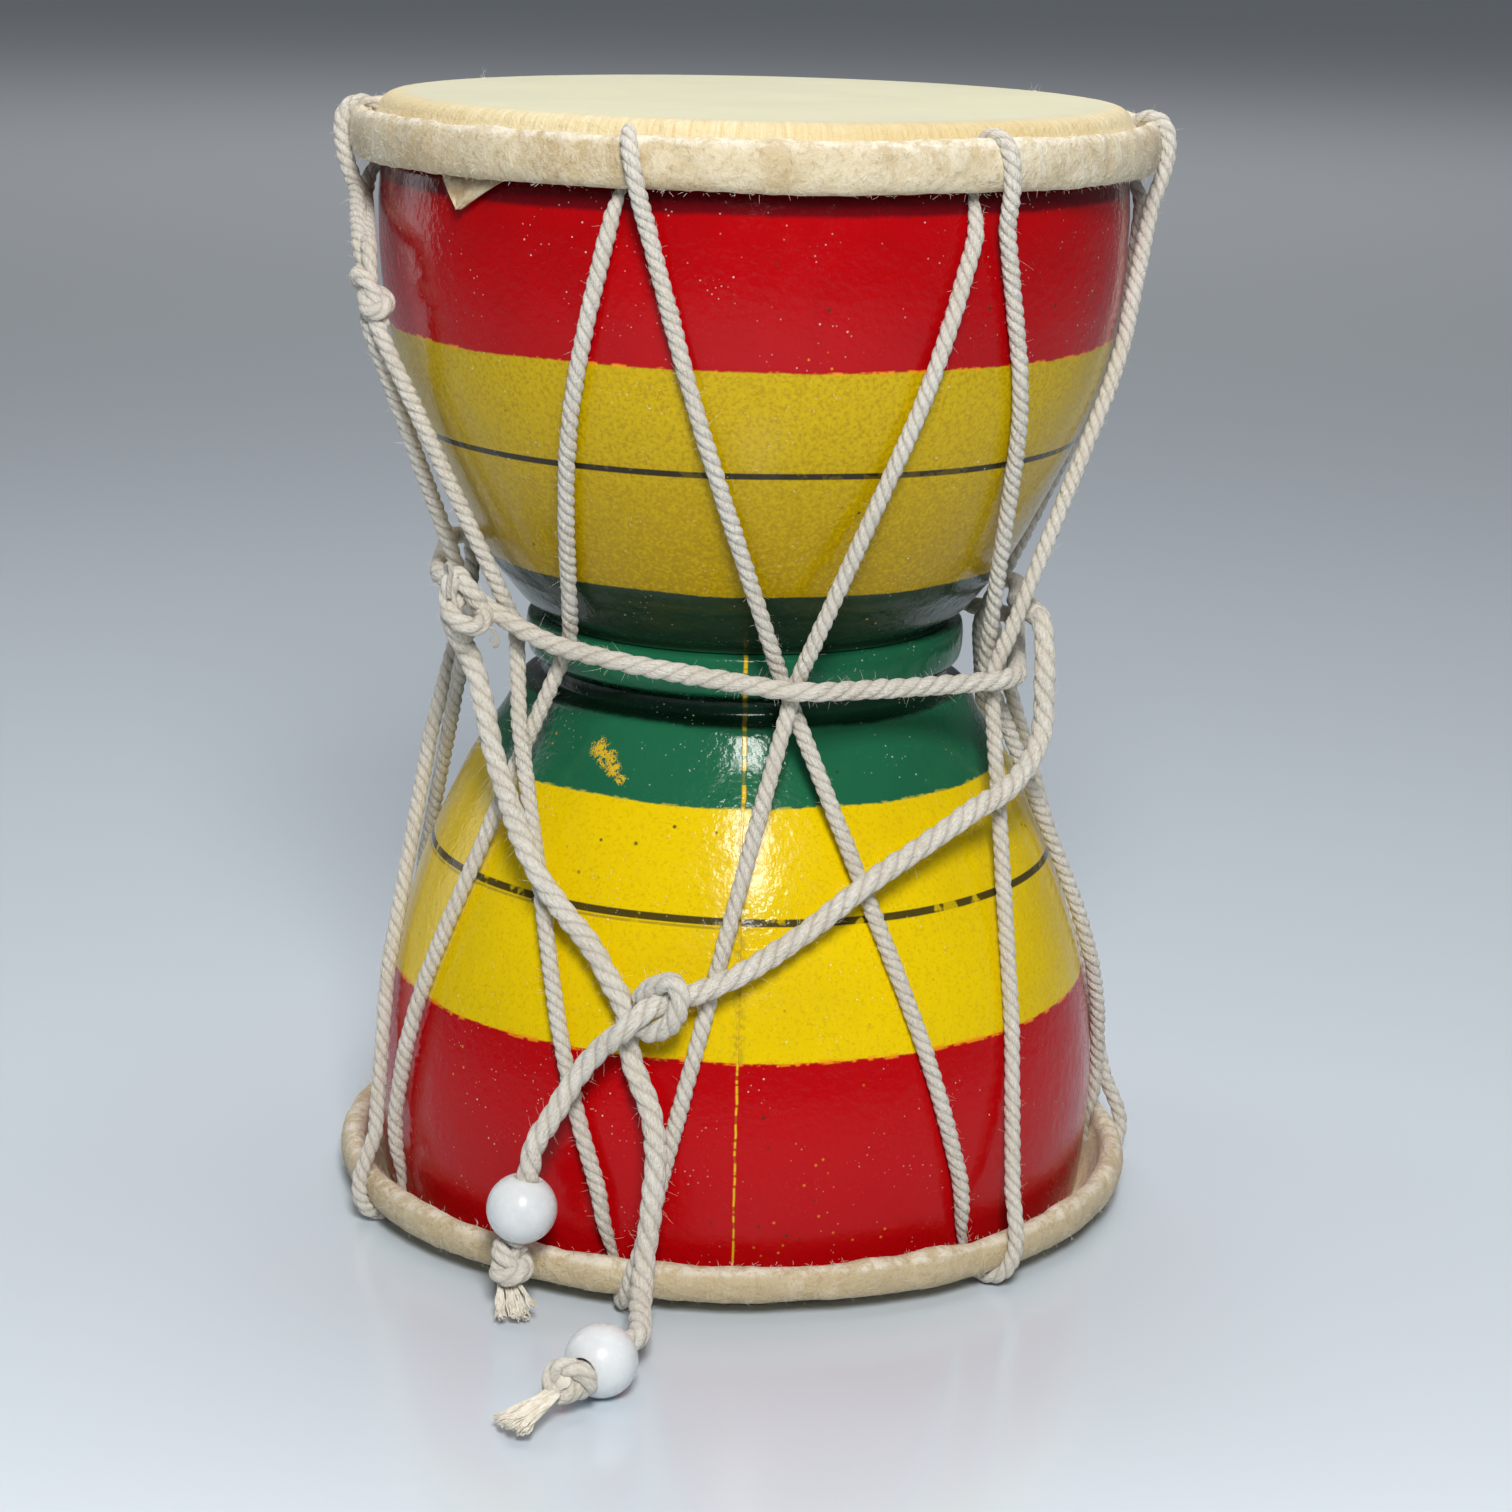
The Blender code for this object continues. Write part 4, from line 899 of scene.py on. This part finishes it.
def pulled_round(rows):
    """The cord through rows of (azimuth, height), pulled tight round the lacing."""
    least = [max(band_radius_at(az + d, z) for d in (-2.0, 0.0, 2.0)) + 0.05 for az, z in rows]
    r = list(least)
    for _ in range(120):
        for q in range(1, len(rows) - 1):
            a, b = math.radians(rows[q][0] - rows[q - 1][0]), math.radians(rows[q + 1][0] - rows[q][0])
            chord = r[q - 1] * r[q + 1] * math.sin(a + b) / (r[q - 1] * math.sin(a) + r[q + 1] * math.sin(b))
            r[q] = max(least[q], chord)
    return [polar(az, s, z) for (az, z), s in zip(rows, r)]


HINGE_RIGHT = np.array([51.0, -19.6, 113.8])
HINGE_LEFT = np.array([-49.2, -31.4, 108.4])
AXIS = (HINGE_RIGHT - HINGE_LEFT) / np.linalg.norm(HINGE_RIGHT - HINGE_LEFT)


def second_turn(az):
    """How far above the first turn the cord lies: high behind, down to it across the left."""
    w = min(1.0, max(0.0, (az - 290) / 32.0))
    return 6.3 * (1 - w * w * (3 - 2 * w))


BALL = [(0.6, 0.954), (1.1, 0.835), (1.5, 0.66), (1.8, 0.43), (1.95, 0.2)]
band_rows = [(az, band_height(az) + 6.3 + 3.6 * max(0.0, (112 - az) / 32.0)) for az in np.arange(82, 248, 4.0)]
band_rows += [(az, band_height(az) + second_turn(az)) for az in np.arange(251, 607, 3.0)]
turn = pulled_round(band_rows)
elbow = [(HINGE_RIGHT + AXIS * d, s) for d, s in BALL][::-1]
band_points = ([p for p, _ in elbow] + [HINGE_RIGHT + AXIS * 0.15 + np.array([0.0, 0.5, 0.0]), HINGE_RIGHT + np.array([0.4, 2.3, 0.0]),
                                        HINGE_RIGHT + np.array([1.0, 4.6, 0.0])] + turn)
waist, waist_line = rope("waist_rope", band_points, 1.78, [1.1 * s for _, s in elbow] + [1.1] * 3 + [1.0] * len(turn), spacing=0.55, soften=3, seed=4)
belongs(waist, "drum", "cotton_rope", "waist_cord")


def smooth_path(rows, count):
    """Evenly spaced points of a centripetal Catmull-Rom curve through the given ones."""
    p = np.array(rows, float)
    p = np.vstack([2 * p[0] - p[1], p, 2 * p[-1] - p[-2]])
    out = []
    for i in range(1, len(p) - 2):
        t = [0.0]
        for a, b in zip(p[i - 1:i + 2], p[i:i + 3]):
            t.append(t[-1] + max(np.linalg.norm(b - a), 1e-6) ** 0.5)
        for u in np.linspace(t[1], t[2], 24, endpoint=False):
            a1 = (t[1] - u) / (t[1] - t[0]) * p[i - 1] + (u - t[0]) / (t[1] - t[0]) * p[i]
            a2 = (t[2] - u) / (t[2] - t[1]) * p[i] + (u - t[1]) / (t[2] - t[1]) * p[i + 1]
            a3 = (t[3] - u) / (t[3] - t[2]) * p[i + 1] + (u - t[2]) / (t[3] - t[2]) * p[i + 2]
            b1 = (t[2] - u) / (t[2] - t[0]) * a1 + (u - t[0]) / (t[2] - t[0]) * a2
            b2 = (t[3] - u) / (t[3] - t[1]) * a2 + (u - t[1]) / (t[3] - t[1]) * a3
            out.append((t[2] - u) / (t[2] - t[1]) * b1 + (u - t[1]) / (t[2] - t[1]) * b2)
    out.append(p[-2])
    out = np.array(out)
    along = np.r_[0, np.cumsum(np.linalg.norm(np.diff(out, axis=0), axis=1))]
    even = np.linspace(0, along[-1], count)
    return np.stack([np.interp(even, along, out[:, k]) for k in range(3)], 1)


def joined(name, pieces):
    """Several meshes as one piece."""
    bm = bmesh.new()
    for piece in pieces:
        bm.from_mesh(piece.data)
    mesh = pieces[0].data
    bm.to_mesh(mesh)
    bm.free()
    mesh.shade_smooth()
    for piece in pieces[1:]:
        other = piece.data
        bpy.data.objects.remove(piece, do_unlink=True)
        bpy.data.meshes.remove(other)
    pieces[0].name = name
    return pieces[0]


# the knot at the left: the band's end comes up from behind, over the top and back under itself
bight, bight_line = rope("waist_knot_bight", smooth_path([(-45.8, -31.5, 114.6), (-48.2, -33.0, 118.8), (-50.6, -33.0, 121.6),
                                                          (-51.8, -34.0, 119.7), (-51.8, -35.0, 116.8), (-51.0, -37.0, 115.0),
                                                          (-49.0, -38.0, 113.8), (-46.8, -37.0, 113.1), (-45.6, -34.5, 113.8),
                                                          (-45.8, -31.8, 114.8)], 60), 1.7, pitch=9.0, spacing=0.4, soften=2, seed=12)
drop_rows = smooth_path([(-50.6, -31.0, 117.0), (-51.6, -33.2, 115.2), (-51.0, -34.4, 112.9), (-50.0, -33.4, 110.3), tuple(HINGE_LEFT)], 26)
drop_way = HINGE_LEFT - drop_rows[-2]
drop_way /= np.linalg.norm(drop_way)
drop_points = list(drop_rows) + [HINGE_LEFT + drop_way * d for d, _ in BALL]
drop, drop_line = rope("waist_knot_drop", drop_points, TIE_R, [1.0] * len(drop_rows) + [s for _, s in BALL], spacing=0.45, soften=2, seed=13)
stub_rows = smooth_path([(-50.6, -33.2, 120.4), (-51.9, -33.6, 121.6), (-52.3, -34.4, 123.0), (-51.6, -35.4, 124.0), (-51.2, -36.0, 122.6),
                         (-51.6, -36.4, 120.4), (-51.4, -37.2, 118.2)], 24)
stub, _ = rope("waist_knot_stub", stub_rows, 0.50, pitch=4.0, spacing=0.3, soften=1, seed=14)
slack_rows = smooth_path([(-44.6, -36.0, 113.0), (-43.4, -37.0, 112.0), (-42.9, -37.6, 110.8), (-43.2, -37.4, 109.8), (-43.9, -36.8, 109.9),
                          (-44.2, -36.4, 111.2)], 24)
slack, _ = rope("waist_knot_slack", slack_rows, 0.34, pitch=4.0, spacing=0.3, soften=1, seed=15)
waist_knot = joined("waist_knot_rope", [bight, drop, stub, slack])
belongs(waist_knot, "drum", "cotton_rope", "waist_knot")

# ------------------------------------------------------------------ strikers
BEAD1, BEAD1_DIR = np.array([-36.0, -70.4, 18.5]), unit(-0.18, -0.08, -0.98)
BEAD2, BEAD2_DIR = np.array([-20.7, -104.6, 6.2]), unit(-0.50, -0.866, 0.0)
TAIL_LEFT = [HINGE_LEFT, (-47.2, -31.6, 103.6), (-45.5, -33.6, 97.6), (-43.7, -35.9, 90.2), (-41.6, -40.0, 85.3),
             (-37.6, -49.0, 77.7), (-33.9, -52.3, 71.6), (-29.7, -55.3, 66.7), (-25.3, -58.3, 62.3), (-21.7, -61.3, 57.0),
             (-19.0, -63.2, 52.3), (-17.8, -65.8, 44.8), (-14.3, -69.9, 36.7), (-13.1, -72.6, 30.4), (-13.6, -74.9, 21.1),
             (-14.4, -76.7, 13.9), (-14.9, -79.8, 8.6), (-15.0, -85.5, 6.6),
             BEAD2 - BEAD2_DIR * 11.5, BEAD2 - BEAD2_DIR * 6.0, BEAD2, BEAD2 + BEAD2_DIR * 6.4]
TAIL_KNOT = np.array([-12.4, -68.4, 55.4])
TAIL_RIGHT = [HINGE_RIGHT, HINGE_RIGHT + np.array([1.6, 0.2, 0.1]), (53.4, -23.0, 111.2), (53.7, -24.8, 107.0),
              (53.8, -25.2, 101.5), (53.8, -25.6, 95.2), (52.2, -29.0, 90.7), (47.4, -36.6, 86.3), (40.8, -43.0, 83.7),
              (36.7, -46.2, 81.5), (29.5, -52.2, 78.0), (22.5, -57.3, 74.4), (10.7, -61.9, 65.8), (0.6, -65.6, 59.9),
              (-6.6, -67.8, 57.2), (-12.9, -68.3, 55.3), (-16.2, -69.5, 53.7), (-18.8, -70.2, 51.2), (-23.0, -68.4, 46.9),
              (-27.2, -67.8, 41.2), (-30.9, -68.8, 34.9),
              BEAD1 - BEAD1_DIR * 11.5, BEAD1 - BEAD1_DIR * 6.0, BEAD1, BEAD1 + BEAD1_DIR * 6.4]
tail_left, left_line = rope("striker_rope_left", smooth_path(TAIL_LEFT, 200), TIE_R, soften=2, seed=21)
tail_right, right_line = rope("striker_rope_right", smooth_path(TAIL_RIGHT, 230), TIE_R, soften=2, phase=1.0, seed=22)
belongs(tail_left, "strikers", "cotton_rope", "tail_left")
belongs(tail_right, "strikers", "cotton_rope", "tail_right_upper", "tail_right_lower")
ARCH = [(-3.8, -0.6, -3.4), (-2.9, 1.2, -2.2), (-1.4, 2.8, -0.6), (0.2, 4.0, 1.0), (1.7, 4.4, 2.2), (2.7, 3.4, 3.0), (2.9, 1.6, 3.3),
        (2.5, -0.6, 3.2), (1.25, -3.1, 2.2), (-0.8, -4.7, 0.8), (-2.2, -5.3, -0.2), (-3.9, -4.9, -1.8), (-5.2, -3.4, -3.2)]
arch_rows = smooth_path([TAIL_KNOT + np.array([x, -d, z]) for x, z, d in ARCH], 70)
tail_knot, arch_line = rope("striker_middle_knot", arch_rows, 1.85, pitch=9.5, spacing=0.4, soften=2, seed=23)
belongs(tail_knot, "strikers", "cotton_rope", "tail_knot")
KNOT1, KNOT2 = BEAD1 + BEAD1_DIR * 9.8, BEAD2 + BEAD2_DIR * 9.8
end_1, end_1_line = placed_knot("striker_end_knot_1", KNOT1, BEAD1_DIR, (0.95, 0.3, 0.0), 1.68, 2.35, 1.8, (1.02, 0.92, 0.84), seed=31, pitch=9.0)
end_2, end_2_line = placed_knot("striker_end_knot_2", KNOT2 - BEAD2_DIR * 0.5, BEAD2_DIR, (0.2, -0.1, 0.97), 1.68, 2.35, 1.8, (1.02, 0.92, 0.84), seed=32, pitch=9.0, short=3)
belongs(end_1, "strikers", "cotton_rope", "end_knot_1")
belongs(end_2, "strikers", "cotton_rope", "end_knot_2")


def frayed(name, start, direction, up, length, wide, flat, bundles, per, node, seed, curl=0.0):
    """The cord's frayed end: wavy bundles of yarn that fan out from the knot."""
    gen = np.random.default_rng(seed)
    d = np.array(direction, float)
    side = np.cross(np.array(up, float), d)
    side /= np.linalg.norm(side)
    lift = np.cross(d, side)
    u = np.linspace(0, 1, 14)
    paths, radii = [], []
    for b in range(bundles):
        t = (b + 0.5) / bundles * 2 - 1 + gen.normal(0, 0.07)
        deep = gen.normal(0, 0.45)
        reach = length * (1.0 - 0.14 * t * t) * gen.uniform(0.90, 1.04)
        phase, wave = gen.uniform(0, 6.28), gen.uniform(7.5, 11.0)
        spread = 1.45 + (wide - 1.45) * u
        x = t * spread + 0.20 * u * np.sin(wave * u + phase) + curl * t * np.abs(t) * u ** 2
        y = deep * (0.6 + (wide * flat - 0.6) * u ** 0.9) * 0.8 + 0.25 * u * np.cos(wave * u + phase)
        for _ in range(per):
            ang, rad = gen.uniform(0, 6.28), math.sqrt(gen.random()) * 0.58
            open_up = 0.55 + 0.75 * u ** 2.5
            twist = ang + 3.2 * u
            yarn_reach = reach * gen.uniform(0.90, 1.03)
            wob = gen.uniform(0, 6.28, 2)
            px = x + rad * open_up * np.cos(twist) + 0.07 * u * np.sin(14 * u + wob[0])
            py = y + rad * open_up * np.sin(twist) + 0.07 * u * np.cos(13 * u + wob[1])
            p = np.array(start) - d * 0.9 + d * (yarn_reach + 0.9) * u[:, None] + side * px[:, None] + lift * py[:, None]
            p[:, 2] = np.maximum(p[:, 2], 0.28 + 0.10 * gen.random())
            paths.append(p)
            radii.append(0.150 * (1 - 0.35 * u ** 3) * gen.uniform(0.85, 1.15))
    obj = prisms(name, paths, radii, YARN, sides=5)
    belongs(obj, "strikers", "cotton_rope", node)
    return obj


FRAY1, FRAY2 = unit(0.27, -0.86, -0.42), unit(-0.69, -0.66, -0.30)
fray_1 = frayed("striker_tassel_1", KNOT1 + np.array([-0.3, -0.9, -4.0]), FRAY1, (0.0, -0.43, 0.9), 7.6, 3.3, 0.36, 8, 30, "tassel_1", 41)
fray_2 = frayed("striker_tassel_2", KNOT2 + FRAY2 * 3.9, FRAY2, (0, 0, 1), 9.8, 4.1, 0.34, 9, 32, "tassel_2", 42)


def bead(name, centre, direction, node):
    R, B = 6.1, 2.4
    edge = math.degrees(math.asin(B / R))
    arc = [(R * math.sin(math.radians(t)), R * math.cos(math.radians(t))) for t in np.linspace(edge + 3, 177 - edge, 34)]
    top = math.sqrt(R * R - B * B)
    profile = [(B, top - 0.35), (B + 0.12, top - 0.1)] + arc + [(B + 0.12, 0.1 - top), (B, 0.35 - top)]
    obj = lathe(name, profile, 64, BEAD)
    place = Matrix.Translation(Vector([c * MM for c in centre])) @ Vector(direction).to_track_quat("Z", "Y").to_matrix().to_4x4()
    obj.data.transform(place)
    belongs(obj, node, "white_bead", node)
    return obj


bead_1 = bead("striker_bead_1", BEAD1, BEAD1_DIR, "bead_1")
bead_2 = bead("striker_bead_2", BEAD2, BEAD2_DIR, "bead_2")


# ------------------------------------------------------------------ stray fibres and the torn flap of skin
fuzz("lacing_fuzz", [lacing_line[4:-4], end_line[4:-4], knot_line], 1.4, 3.2, 51, "drum", reach=(0.3, 1.3), thick=0.019)
fuzz("waist_fuzz", [waist_line[6:-4], bight_line, drop_line[:-6]], 1.7, 6.0, 52, "drum", reach=(0.35, 1.6), thick=0.020)


def clear_of_joints(line):
    """The rows of a tail that no bead slides over and that stay off the waist cord as the strikers swing."""
    away = [np.linalg.norm(line - np.array(p), axis=1) for p in (BEAD1, BEAD2, HINGE_LEFT, HINGE_RIGHT)]
    return line[(np.minimum(away[0], away[1]) > 12.6) & (np.minimum(away[2], away[3]) > 7.5)]


fuzz("striker_fuzz", [clear_of_joints(left_line), clear_of_joints(right_line), arch_line], 1.85, 6.5, 53, "strikers",
     reach=(0.35, 1.7), thick=0.020)
fuzz("striker_knot_fuzz", [end_1_line[8:], end_2_line[8:]], 1.6, 5.0, 54, "strikers", reach=(0.3, 1.3), thick=0.020)


def roll_fibres(name, middle, half, count, seed, degrees):
    """Short curly fibres of the raw hide on a rolled edge."""
    gen = np.random.default_rng(seed)
    az = gen.uniform(0, 2 * math.pi, count)
    t = np.radians(gen.uniform(*degrees, count))
    r, z = middle[0] + half[0] * np.cos(t), middle[1] + half[1] * np.sin(t)
    radial = np.stack([np.sin(az), -np.cos(az), np.zeros(count)], 1)
    along = np.stack([np.cos(az), np.sin(az), np.zeros(count)], 1)
    rise = np.array([0, 0, 1.0])
    start = radial * (r - 0.15)[:, None] + z[:, None] * rise
    out = unit_rows(radial * (np.cos(t) / half[0])[:, None] + rise * (np.sin(t) / half[1])[:, None])
    way = unit_rows(out * gen.uniform(0.25, 0.8, (count, 1)) + along * gen.normal(0, 0.8, (count, 1)) + rise * gen.normal(0, 0.45, (count, 1)))
    size = gen.uniform(0.35, 1.15, (count, 1))
    curl = unit_rows(gen.normal(size=(count, 3))) * gen.uniform(0.1, 0.5, (count, 1))
    paths = np.stack([start + way * size * q + curl * size * q * q for q in (0.0, 0.4, 0.75, 1.0)], 1)
    paths[..., 2] = np.clip(paths[..., 2], 0.05, 203.4)
    radii = 0.024 * np.broadcast_to(np.array([1.0, 0.95, 0.8, 0.5]), paths.shape[:2])
    obj = prisms(name, paths, radii, YARN)
    belongs(obj, "drum", "skin")


roll_fibres("top_roll_fibres", (70.15, 196.2), (2.25, 4.45), 2600, 61, (-85, 80))
roll_fibres("bottom_roll_fibres", (72.4, 6.1), (2.6, 3.4), 2200, 62, (-60, 110))


def sheet(name, grid, thick, mat):
    """A thin closed sheet: the grid's outside and a second one just inside it."""
    g = np.array(grid, float)
    m, n, _ = g.shape
    radial = g.copy()
    radial[..., 2] = 0
    back = g - unit_rows(radial) * thick
    verts = np.concatenate([g.reshape(-1, 3), back.reshape(-1, 3)]) * MM
    faces = []
    for i in range(m - 1):
        for j in range(n - 1):
            a, b, c, d = i * n + j, i * n + j + 1, (i + 1) * n + j + 1, (i + 1) * n + j
            faces += [(a, b, c, d), (a + m * n, d + m * n, c + m * n, b + m * n)]
    rim = ([(0, j) for j in range(n)] + [(i, n - 1) for i in range(1, m)] + [(m - 1, j) for j in range(n - 2, -1, -1)]
           + [(i, 0) for i in range(m - 2, 0, -1)])
    for (i, j), (k, q) in zip(rim, rim[1:] + rim[:1]):
        a, b = i * n + j, k * n + q
        faces.append((a, a + m * n, b + m * n, b))
    obj = mesh_object(name, verts, faces, mat)
    bm = bmesh.new()
    bm.from_mesh(obj.data)
    bmesh.ops.recalc_face_normals(bm, faces=bm.faces)
    bm.to_mesh(obj.data)
    bm.free()
    obj.data.shade_smooth()
    obj.data.set_sharp_from_angle(angle=math.radians(60))
    return obj


A, B, TIP = np.array([-51.6, -42.0, 193.4]), np.array([-38.5, -54.2, 193.2]), np.array([-48.6, -47.6, 186.0])
flap_rows = []
for v in np.linspace(0, 0.95, 14):
    row = []
    for u in np.linspace(0, 1, 22):
        w = u + 0.06 * math.sin(9 * v + 2.0) * (1 - v) * u * (1 - u) * 4
        p = (A + (B - A) * w) * (1 - v) + TIP * v
        az = math.atan2(p[0], -p[1])
        lift = 67.9 + 0.2 + 0.9 * v * v + 0.35 * math.sin(7 * u + 4 * v) * v + 0.25 * math.sin(3.1 * u * (1 - v) + 1.0)
        lift = min(lift, 67.2 + 2.4 * v) if v < 0.25 else lift
        ragged = 0.35 * math.sin(23 * u) * v * (1 - v) * 2
        row.append((lift * math.sin(az), -lift * math.cos(az), p[2] + ragged))
    flap_rows.append(row)
flap = sheet("torn_skin_flap", flap_rows, 0.4, FLAP)
belongs(flap, "drum", "skin")

# ------------------------------------------------------------------ stage
bm = bmesh.new()
bmesh.ops.create_grid(bm, x_segments=2, y_segments=2, size=12.0)
mesh = bpy.data.meshes.new("floor")
bm.to_mesh(mesh)
bm.free()
n = Nodes("pale_floor")
n.bsdf.inputs["Base Color"].default_value = (0.62, 0.69, 0.76, 1)
n.bsdf.inputs["Roughness"].default_value = 0.17
n.bsdf.inputs["Specular IOR Level"].default_value = 0.5
mesh.materials.append(n.mat)
floor = link(bpy.data.objects.new("floor", mesh))

world = bpy.data.worlds.new("studio")
bpy.context.scene.world = world
world.use_nodes = True
world.node_tree.nodes["Background"].inputs["Color"].default_value = (0.86, 0.92, 1.0, 1)
world.node_tree.nodes["Background"].inputs["Strength"].default_value = 0.13


def area(name, at, to, size, power, colour=(1, 1, 1)):
    lamp = bpy.data.lights.new(name, "AREA")
    lamp.shape = "RECTANGLE"
    lamp.size, lamp.size_y = size
    lamp.energy = power
    lamp.color = colour
    obj = link(bpy.data.objects.new(name, lamp))
    obj.location = at
    obj.rotation_euler = (Vector(to) - Vector(at)).to_track_quat("-Z", "Y").to_euler()
    return obj


area("key", (0.05, -0.72, 0.635), (0, 0, 0.09), (0.19, 0.28), 7.4, (1.0, 0.985, 0.96))
area("left_strip", (-0.66, 0.36, 0.36), (0, 0, 0.12), (0.24, 0.70), 0.75, (0.95, 0.98, 1.0))
area("top_soft", (0.05, 0.22, 1.00), (0, 0, 0.10), (0.80, 0.50), 4.3)
area("far_floor", (0.0, 2.3, 1.7), (0, 2.2, 0), (2.0, 1.0), 24.0, (1.0, 0.93, 0.88))
bpy.context.scene.view_settings.view_transform = "Standard"
